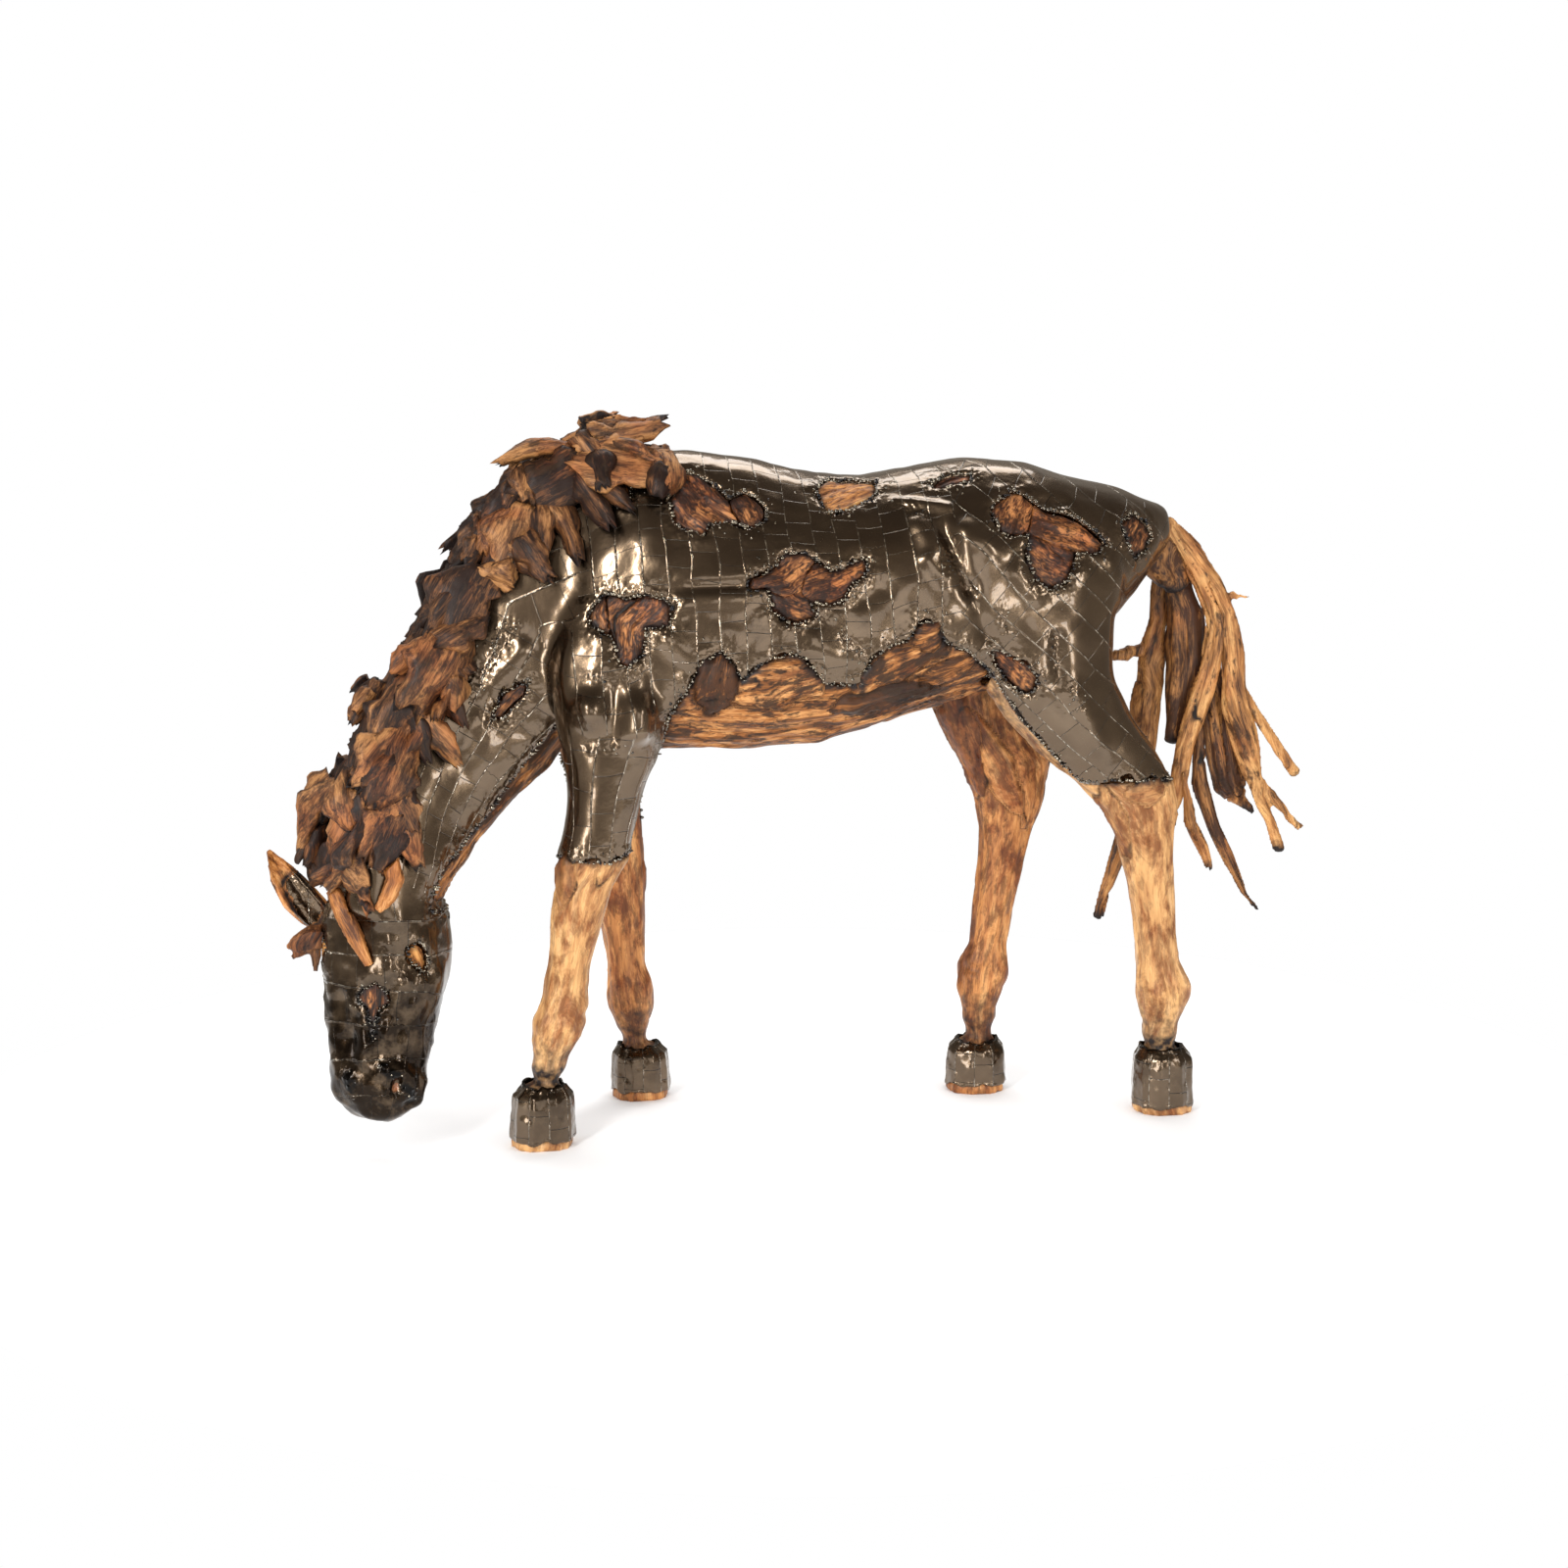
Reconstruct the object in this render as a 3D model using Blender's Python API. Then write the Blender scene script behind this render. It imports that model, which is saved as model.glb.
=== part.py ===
"""Life-size grazing horse: a carcass of reclaimed wood, part clad in welded steel plate.

The horse faces -X with its left side towards -Y and stands on +Z up. Its origin is on the ground,
under the middle of its bounding box. Shape tables are in centimetres of a horse that stands
1.52 m at the withers. It is modelled at that size and scaled to WITHERS_HEIGHT at the end.
"""

import math

import bmesh
import bpy
from mathutils import Matrix, Vector
from mathutils.bvhtree import BVHTree

# Driving dimensions, in metres
WITHERS_HEIGHT = 1.52
PLATE_THICKNESS = 0.003
FIT_GAP = 0.0004
WINDOW_DEPTH = 0.034
WINDOW_RECESS = 0.0025
WINDOW_CLEAR = 0.05
CUP_LIFT = 0.012

# Height at the withers that the tables below are written for, and this horse's size beside it
TABLE_WITHERS = 1.52
SIZE = WITHERS_HEIGHT / TABLE_WITHERS

# Lengths that are the same on a horse of any size, as they are before the scaling
PLATE = PLATE_THICKNESS / SIZE
GAP = FIT_GAP / SIZE
RECESS = WINDOW_RECESS / SIZE

# Angle under which two faces count as one plane
SAME_PLANE = math.radians(0.3)

TORSO_SIDES = 20
NECK_SIDES = 16
LEG_SIDES = 10
BRANCH_SIDES = 5
SHARD_SIDES = 4


def cm(value):
    """A length from the tables, in metres."""
    return value / 100


def cm_point(x, y, z):
    return Vector((cm(x), cm(y), cm(z)))


def clear_scene():
    for obj in list(bpy.data.objects):
        bpy.data.objects.remove(obj)


def principled(name, colour, roughness, metallic):
    material = bpy.data.materials.new(name)
    material.use_nodes = True
    shader = material.node_tree.nodes["Principled BSDF"]
    shader.inputs["Base Color"].default_value = (*colour, 1.0)
    shader.inputs["Roughness"].default_value = roughness
    shader.inputs["Metallic"].default_value = metallic
    material.diffuse_color = (*colour, 1.0)
    return material


def new_object(name, mesh, material=None):
    obj = bpy.data.objects.new(name, mesh)
    bpy.context.scene.collection.objects.link(obj)
    if material:
        mesh.materials.clear()
        mesh.materials.append(material)
    return obj


def mesh_from(name, verts, faces):
    """A closed mesh with its faces turned outwards."""
    shape = bmesh.new()
    made = [shape.verts.new(v) for v in verts]
    for face in faces:
        shape.faces.new([made[i] for i in face])
    bmesh.ops.recalc_face_normals(shape, faces=shape.faces)
    mesh = bpy.data.meshes.new(name)
    shape.to_mesh(mesh)
    shape.free()
    return mesh


def loft_mesh(name, rings):
    """Skins equal rings of points with triangles, the same way at every size, and caps both ends."""
    sides = len(rings[0])
    verts = [point for ring in rings for point in ring]
    faces = []
    for k in range(len(rings) - 1):
        a, b = k * sides, (k + 1) * sides
        for i in range(sides):
            j = (i + 1) % sides
            faces += [(a + i, a + j, b + j), (a + i, b + j, b + i)]
    faces.append(tuple(range(sides)))
    last = (len(rings) - 1) * sides
    faces.append(tuple(range(last, last + sides)))
    return mesh_from(name, verts, faces)


def oval(centre, across, along, half_across, half_along, sides, squareness=2.0, egg=0.0):
    """A ring round centre. squareness above 2 fills its corners, and egg narrows the +along end."""
    points = []
    for i in range(sides):
        angle = 2 * math.pi * (i + 0.5) / sides
        c, s = math.cos(angle), math.sin(angle)
        a = math.copysign(abs(c) ** (2 / squareness), c) * (1 - egg * s)
        b = math.copysign(abs(s) ** (2 / squareness), s)
        points.append(centre + across * (a * half_across) + along * (b * half_along))
    return points


def split_faces(obj):
    """Cuts faces of more than four corners into triangles, since bent ones join badly."""
    shape = bmesh.new()
    shape.from_mesh(obj.data)
    wide = [face for face in shape.faces if len(face.verts) > 4]
    bmesh.ops.triangulate(shape, faces=wide)
    shape.to_mesh(obj.data)
    shape.free()


def boolean(target, tool, operation):
    """Joins, cuts or intersects target with tool, and removes the tool."""
    split_faces(target)
    split_faces(tool)
    modifier = target.modifiers.new(operation, "BOOLEAN")
    modifier.operation = operation
    modifier.object = tool
    modifier.solver = "MANIFOLD"
    graph = bpy.context.evaluated_depsgraph_get()
    cut = bpy.data.meshes.new_from_object(target.evaluated_get(graph))
    target.modifiers.clear()
    target.data = cut
    bpy.data.objects.remove(tool)
    return target


def copy_of(obj, name="copy"):
    return new_object(name, obj.data.copy())


def tidy(obj):
    """Merges the points that Booleans leave closer than a hair."""
    shape = bmesh.new()
    shape.from_mesh(obj.data)
    bmesh.ops.remove_doubles(shape, verts=shape.verts, dist=1e-5)
    bmesh.ops.dissolve_degenerate(shape, edges=shape.edges, dist=1e-5)
    bmesh.ops.recalc_face_normals(shape, faces=shape.faces)
    shape.to_mesh(obj.data)
    shape.free()
    return obj


# Barrel, from breast to buttock: x, top, bottom, half width, egg
TORSO = (
    (-56.0, 126.5, 106, 7, 0.0),
    (-52.5, 136.5, 95, 13.5, 0.0),
    (-45.0, 146.6, 88.5, 19, 0.08),
    (-34.0, 153.2, 86.8, 23, 0.18),
    (-22.0, 153.7, 87.0, 25, 0.24),
    (-8.0, 151.9, 86.5, 26.5, 0.2),
    (6.0, 148.6, 87.4, 27.5, 0.12),
    (18.0, 148.1, 90.3, 27.5, 0.08),
    (30.0, 149.9, 94, 27, 0.1),
    (42.0, 152.3, 97.5, 26.5, 0.1),
    (54.0, 151.0, 101, 25.5, 0.08),
    (66.0, 147.2, 106, 22.5, 0.05),
    (76.0, 145.2, 115, 17.5, 0.0),
    (84.0, 142.0, 125, 11, 0.0),
    (89.0, 140, 131, 5.5, 0.0),
)


def torso(grow=0.0):
    across, along = Vector((0, -1, 0)), Vector((0, 0, 1))
    rings = []
    for i, (x, top, bottom, half, egg) in enumerate(TORSO):
        end = {0: -grow, len(TORSO) - 1: grow}.get(i, 0.0)
        centre = cm_point(x, 0, (top + bottom) / 2) + Vector((end, 0, 0))
        rings.append(
            oval(centre, across, along, cm(half) + grow, cm((top - bottom) / 2) + grow,
                 TORSO_SIDES, 2.15, egg)
        )
    return new_object("torso", loft_mesh("torso", rings))


# Neck, from inside the shoulders to inside the head: centre x, y, z, the crest's slope from
# level, half depth from crest to throat, half thickness, and the twist towards the left side
NECK = (
    (-44.0, 0, 121, 86, 27.0, 17.0, 0),
    (-57.0, -0.5, 116.2, 70, 26.4, 14.0, 0),
    (-66.2, -2.5, 100.5, 52, 21.4, 11.5, 6),
    (-75.4, -6, 87.2, 39, 17.5, 10.3, 16),
    (-82.8, -10, 75.3, 31, 15.9, 10.0, 32),
    (-87.5, -13, 65, 24, 14.2, 10.0, 48),
    (-90.5, -15.5, 54, 15, 11.5, 9.5, 58),
)


def neck_frame(slope, twist):
    """Unit vectors to the crest and to the left side of the neck."""
    lean, turn = math.radians(slope), math.radians(twist)
    level_crest = Vector((-math.cos(lean), 0, math.sin(lean)))
    level_left = Vector((0, -1, 0))
    crest = level_crest * math.cos(turn) + level_left * math.sin(turn)
    left = level_left * math.cos(turn) - level_crest * math.sin(turn)
    return crest, left


def neck(grow=0.0):
    rings = []
    for x, y, z, slope, depth, half, twist in NECK:
        crest, left = neck_frame(slope, twist)
        rings.append(
            oval(cm_point(x, y, z), left, crest, cm(half) + grow, cm(depth) + grow,
                 NECK_SIDES, 2.1, 0.12)
        )
    return new_object("neck", loft_mesh("neck", rings))


# Head: poll, which way the face looks, nose-forward lean, and stations down from the poll:
# distance, forehead side, jaw side and half width
POLL = (-91.2, -12.5, 66.0)
FACE_TURN = 62.0
FACE_LEAN = 5.0
HEAD = (
    (-1.0, 5.0, 6.0, 6.0),
    (4.0, 8.5, 10.0, 10.0),
    (11.0, 9.5, 13.8, 12.9),
    (19.0, 9.5, 15.8, 13.8),
    (26.0, 9.0, 15.2, 13.6),
    (35.0, 8.2, 11.5, 12.1),
    (43.0, 7.8, 9.4, 10.7),
    (49.0, 8.2, 9.0, 10.2),
    (53.5, 7.2, 7.8, 8.8),
    (57.0, 3.8, 4.8, 4.6),
)


def head_frame():
    """Unit vectors the face looks along, towards the horse's left, and down the head."""
    turn, lean = math.radians(FACE_TURN), math.radians(FACE_LEAN)
    level_face = Vector((-math.cos(turn), -math.sin(turn), 0))
    left = Vector((math.sin(turn), -math.cos(turn), 0))
    down = Vector((0, 0, -1)) * math.cos(lean) + level_face * math.sin(lean)
    face = level_face * math.cos(lean) + Vector((0, 0, 1)) * math.sin(lean)
    return face, left, down


def head(grow=0.0):
    face, left, down = head_frame()
    rings = []
    for i, (reach, front, jaw, half) in enumerate(HEAD):
        end = {0: -grow, len(HEAD) - 1: grow}.get(i, 0.0)
        centre = cm_point(*POLL) + down * (cm(reach) + end) + face * cm((front - jaw) / 2)
        rings.append(
            oval(centre, left, face, cm(half) + grow, cm((front + jaw) / 2) + grow,
                 NECK_SIDES, 2.5, 0.0)
        )
    return new_object("head", loft_mesh("head", rings))


# Legs, from inside the body to the pastern: z, x, y, half length and half width
NEAR_FORE = (
    (122, -38.5, -12, 13, 8),
    (108, -40.0, -15, 14.5, 9.5),
    (97, -41.0, -16.2, 13, 9.5),
    (88, -41.5, -16.5, 10.5, 8.3),
    (80, -42.6, -16.3, 8.6, 7.2),
    (72, -43.9, -16.0, 8.2, 6.8),
    (65, -45.2, -15.8, 8.0, 6.6),
    (59, -47.3, -15.5, 6.5, 5.8),
    (51, -49.2, -15.2, 5.8, 5.3),
    (42, -50.8, -14.8, 5.2, 4.9),
    (34, -52.0, -14.4, 4.8, 4.6),
    (28.5, -53.2, -14.2, 5.8, 5.3),
    (24.5, -54.0, -14.0, 5.6, 5.2),
    (20.5, -54.9, -13.9, 4.1, 4.0),
    (13, -56.4, -13.8, 3.9, 3.8),
)
FAR_FORE = (
    (122, -38.5, 12, 13, 8),
    (108, -40.0, 15, 14.5, 9.5),
    (97, -40.5, 16.4, 12.5, 9.5),
    (88, -40.4, 17.0, 10.5, 8.3),
    (80, -39.8, 17.5, 8.8, 7.2),
    (72, -38.8, 18.0, 7.8, 6.6),
    (63, -37.6, 18.6, 7.2, 5.9),
    (53, -36.0, 19.4, 6.4, 5.3),
    (42, -35.0, 20.2, 5.2, 4.9),
    (33, -34.2, 20.8, 4.6, 4.6),
    (26, -33.4, 21.2, 5.8, 5.2),
    (22, -33.1, 21.3, 5.6, 5.1),
    (18, -32.8, 21.4, 3.9, 3.9),
    (11.5, -32.0, 21.5, 3.8, 3.8),
)
NEAR_HIND = (
    (136, 58.0, -11, 18, 10),
    (126, 55.5, -13.5, 20, 12),
    (114, 55.4, -14.6, 17.6, 11.6),
    (103, 57.4, -14.8, 15.8, 10.2),
    (94, 62.6, -14.6, 15.0, 8.8),
    (86, 69.3, -14.2, 14.2, 7.6),
    (79, 75.8, -13.8, 12.0, 6.8),
    (73, 80.0, -13.5, 9.4, 6.3),
    (66, 81.8, -13.2, 7.0, 5.6),
    (55, 83.4, -12.7, 5.5, 5.0),
    (44, 84.8, -12.3, 5.0, 4.7),
    (36, 85.9, -12.1, 5.1, 4.8),
    (30, 87.2, -11.9, 6.3, 5.5),
    (26, 87.4, -11.7, 6.0, 5.3),
    (21.5, 87.1, -11.5, 4.2, 4.1),
    (14, 87.1, -11.4, 4.1, 4.0),
)
FAR_HIND = (
    (136, 56.0, 11, 18, 10),
    (126, 54.0, 13.5, 20, 12),
    (114, 53.0, 14.6, 18, 11.6),
    (103, 51.5, 14.8, 17, 10.4),
    (94, 52.6, 14.6, 15.5, 9.2),
    (86, 54.4, 14.3, 13.3, 8.0),
    (79, 56.2, 14.1, 10.8, 7.2),
    (71, 56.8, 14.0, 8.8, 6.6),
    (64, 56.2, 13.9, 6.8, 5.8),
    (56, 55.0, 13.8, 5.9, 5.2),
    (46, 53.3, 13.7, 5.3, 4.9),
    (36, 52.0, 13.6, 4.8, 4.7),
    (29, 50.9, 13.6, 6.0, 5.4),
    (25, 50.4, 13.6, 5.8, 5.3),
    (20, 50.0, 13.6, 4.2, 4.2),
    (11, 49.9, 13.6, 4.1, 4.1),
)
# Hoof below each pastern: height of its crown, x, y, half length and half width at the ground
HOOVES = {
    "near_fore": (14.2, -57.2, -13.8, 7.3, 6.7),
    "far_fore": (13.0, -31.0, 21.5, 7.2, 6.5),
    "near_hind": (15.5, 88.2, -11.3, 7.4, 6.7),
    "far_hind": (12.5, 49.3, 13.6, 7.5, 6.7),
}
LEGS = {
    "near_fore": NEAR_FORE,
    "far_fore": FAR_FORE,
    "near_hind": NEAR_HIND,
    "far_hind": FAR_HIND,
}


def level_ring(z, x, y, half_x, half_y, grow=0.0, squareness=2.1):
    return oval(cm_point(x, y, z), Vector((0, -1, 0)), Vector((-1, 0, 0)),
                cm(half_y) + grow, cm(half_x) + grow, LEG_SIDES, squareness)


def limb(name, grow=0.0):
    """The whole limb from inside the body down to the pastern, without its hoof."""
    rings = [level_ring(*station, grow) for station in LEGS[name]]
    return new_object(name, loft_mesh(name, rings))


def hoof_rings(name, grow, low):
    """Rings of a hoof from a height in metres up to its crown, where it turns in to the pastern."""
    crown, x, y, half_x, half_y = HOOVES[name]
    _, top_x, top_y, top_half_x, top_half_y = LEGS[name][-1]
    # Height as a share of the crown, and how far the shape has closed in from sole to pastern
    profile = ((0.0, 0.0), (0.85, 0.18), (1.0, 0.62))
    rings = []
    for height, closed in profile:
        z = max(cm(crown * height), low)
        centre = Vector((cm(x + (top_x - x) * closed), cm(y + (top_y - y) * closed), z))
        long_half = cm(half_x + (top_half_x - half_x) * closed) + grow
        wide_half = cm(half_y + (top_half_y - half_y) * closed) + grow
        rings.append(oval(centre, Vector((0, -1, 0)), Vector((-1, 0, 0)),
                          wide_half, long_half, LEG_SIDES, 2.3))
    return rings


def hoof(name, grow=0.0, low=0.0, overshoot=0.0):
    """The solid foot from a height up to its crown, and above it by overshoot."""
    rings = hoof_rings(name, grow, low)
    if low < 0:
        rings.insert(0, [p + Vector((0, 0, low)) for p in rings[0]])
    if overshoot:
        rings.append([p + Vector((0, 0, overshoot)) for p in rings[-1]])
    return new_object(name + "_hoof", loft_mesh(name, rings))


def prism(name, outline, low_y, high_y):
    """An outline of (x, z) points in centimetres, extruded across the horse."""
    rings = [[Vector((cm(x), y, cm(z))) for x, z in outline] for y in (low_y, high_y)]
    return new_object(name, loft_mesh(name, rings))


# Where the plate ends on the belly, seen from the side, as (x, z): the wooden belly lies below this line
BELLY_LINE = (
    (-30, 94), (-25.5, 102.5), (-22.5, 108.5), (-18, 111.5), (-13.5, 105), (-9.5, 108.5),
    (-4.5, 110.5), (-0.5, 110), (4.5, 104), (12.5, 103), (14.5, 109), (18, 111.5),
    (22.5, 113), (25, 117), (28, 117), (31, 112.5), (37, 110), (44, 104), (50, 98),
)


def belly_tool(drop):
    """Everything under the plate's lower edge, lowered by drop."""
    outline = [(x, z - drop * 100) for x, z in BELLY_LINE]
    outline += [(50, 60), (-30, 60)]
    return prism("belly_tool", outline, cm(-60), cm(60))


# Where the plate ends under the neck: the wooden throat lies below and behind this line
THROAT_LINE = (
    (-46, 101), (-52.5, 94.5), (-58.5, 87.5), (-63, 82), (-67.2, 76), (-71.5, 71),
    (-78.5, 63.5), (-81.5, 56), (-82.5, 48),
)


def throat_tool(drop):
    """The space under the throat's plate, lowered by drop."""
    outline = [(x + drop * 100, z) for x, z in THROAT_LINE]
    outline += [(-45, 48), (-30, 90)]
    return prism("throat_tool", outline, cm(-60), cm(60))


# Per limb, in centimetres: lowest plate, top of its wooden inner face, the plane through y that
# parts wood from plate at a point x, z of the limb, and how far that plane turns per centimetre
# that the limb runs forward
PLATING = {
    "near_fore": (66.0, 66.0, 0.0, 0.0, (0.0, 0.0), 0.0),
    "far_fore": (68.0, 91.0, 17.5, 0.0, (0.0, 0.0), 0.0),
    "near_hind": (79.5, 104.0, -14.0, 0.5, (62.6, 94.0), -0.63),
    "far_hind": (80.0, 104.0, 14.6, 0.25, (53.6, 94.0), -0.15),
}
REACH = 3.0


def hexahedron(name, corners):
    """A block from eight corners: low x before high x, then low y, then low z."""
    faces = [(0, 1, 3, 2), (4, 6, 7, 5), (0, 4, 5, 1), (2, 3, 7, 6), (0, 2, 6, 4), (1, 5, 7, 3)]
    return new_object(name, mesh_from(name, corners, faces))


def box(name, low, high):
    corners = [Vector((x, y, z)) for x in (low[0], high[0]) for y in (low[1], high[1])
               for z in (low[2], high[2])]
    return hexahedron(name, corners)


def split_side(name, low, high, outer, grow):
    """The space beyond or inside a limb's parting plane, between two heights in metres."""
    plane_y, turn, (x0, z0), lean = PLATING[name][2:]
    side = -1 if plane_y < 0 else 1
    far_end = side * (REACH if outer else -REACH)
    corners = []
    for x in (-REACH, REACH):
        for at_end in (far_end < 0, far_end > 0):
            for z in (low, high):
                along = (x - cm(x0)) - lean * (z - cm(z0))
                parting = cm(plane_y) - side * (turn * along + grow)
                corners.append(Vector((x, far_end if at_end else parting, z)))
    return hexahedron(name + "_side", corners)


def sleeve(name, grow=0.0):
    """The plated part of a limb: all but its bare lower end and its bare inner face."""
    low, top, plane_y = PLATING[name][:3]
    plated = limb(name, grow)
    below = box(name + "_below", (-REACH, -REACH, -REACH), (REACH, REACH, cm(low)))
    boolean(plated, below, "DIFFERENCE")
    if plane_y:
        boolean(plated, split_side(name, -REACH, cm(top), False, 0.0), "DIFFERENCE")
    return plated


def clad_body(grow=0.0):
    """Barrel, neck, head and upper limbs as the one welded skin, before its windows are cut."""
    body = boolean(torso(grow), belly_tool(0.0), "DIFFERENCE")
    bare_neck = boolean(neck(grow), throat_tool(0.0), "DIFFERENCE")
    for part in [bare_neck, head(grow)] + [sleeve(name, grow) for name in LEGS]:
        boolean(body, part, "UNION")
        tidy(body)
    return body


def carcass(grow):
    """Barrel, neck and head with nothing left off, to cut loose pieces to a fit."""
    body = torso(grow)
    boolean(body, neck(grow), "UNION")
    return tidy(boolean(body, head(grow), "UNION"))


def flatten(obj):
    """Joins the faces of one plane that the cuts have split."""
    shape = bmesh.new()
    shape.from_mesh(obj.data)
    bmesh.ops.dissolve_limit(shape, angle_limit=SAME_PLANE, verts=shape.verts, edges=shape.edges)
    shape.to_mesh(obj.data)
    shape.free()
    return obj


def dress(obj, name, material):
    """Names a finished piece and gives it its one material."""
    flatten(tidy(keep_largest(obj)))
    obj.name = name
    obj.data.materials.clear()
    obj.data.materials.append(material)
    for face in obj.data.polygons:
        face.material_index = 0
    return obj


def keep_largest(obj):
    """Drops the crumbs that a cut leaves beside the main piece."""
    shape = bmesh.new()
    shape.from_mesh(obj.data)
    bmesh.ops.remove_doubles(shape, verts=shape.verts, dist=1e-5)
    left = set(shape.verts)
    groups = []
    while left:
        stack = [left.pop()]
        group = set(stack)
        while stack:
            for edge in stack.pop().link_edges:
                for vert in edge.verts:
                    if vert in left:
                        left.remove(vert)
                        group.add(vert)
                        stack.append(vert)
        groups.append(group)
    spans = [max(v.co.z for v in g) - min(v.co.z for v in g) + max(v.co.x for v in g)
             - min(v.co.x for v in g) for g in groups]
    kept = groups[spans.index(max(spans))]
    bmesh.ops.delete(shape, geom=[v for v in shape.verts if v not in kept], context="VERTS")
    shape.to_mesh(obj.data)
    shape.free()
    return obj


def wooden_leg(name, material):
    """A leg and foot of bare wood, up to the plate, with the foot turned down to fit its cup."""
    leg = boolean(limb(name), hoof(name, -PLATE - GAP), "UNION")
    low, top, plane_y = PLATING[name][:3]
    above = box(name + "_above", (-REACH, -REACH, cm(top) - GAP), (REACH, REACH, REACH))
    for tool in (torso(GAP), neck(GAP), above):
        boolean(leg, tool, "DIFFERENCE")
    if plane_y:
        plated = split_side(name, cm(low) - GAP, REACH, True, GAP)
        boolean(leg, plated, "DIFFERENCE")
    return dress(leg, name + "_leg_wood", material)


def hoof_cup(name, material):
    """A ring of plate round the foot, open above and below."""
    cup = hoof(name, 0.0, CUP_LIFT)
    core = hoof(name, -PLATE, -CUP_LIFT, CUP_LIFT)
    return dress(boolean(cup, core, "DIFFERENCE"), name + "_hoof_cup", material)


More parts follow.
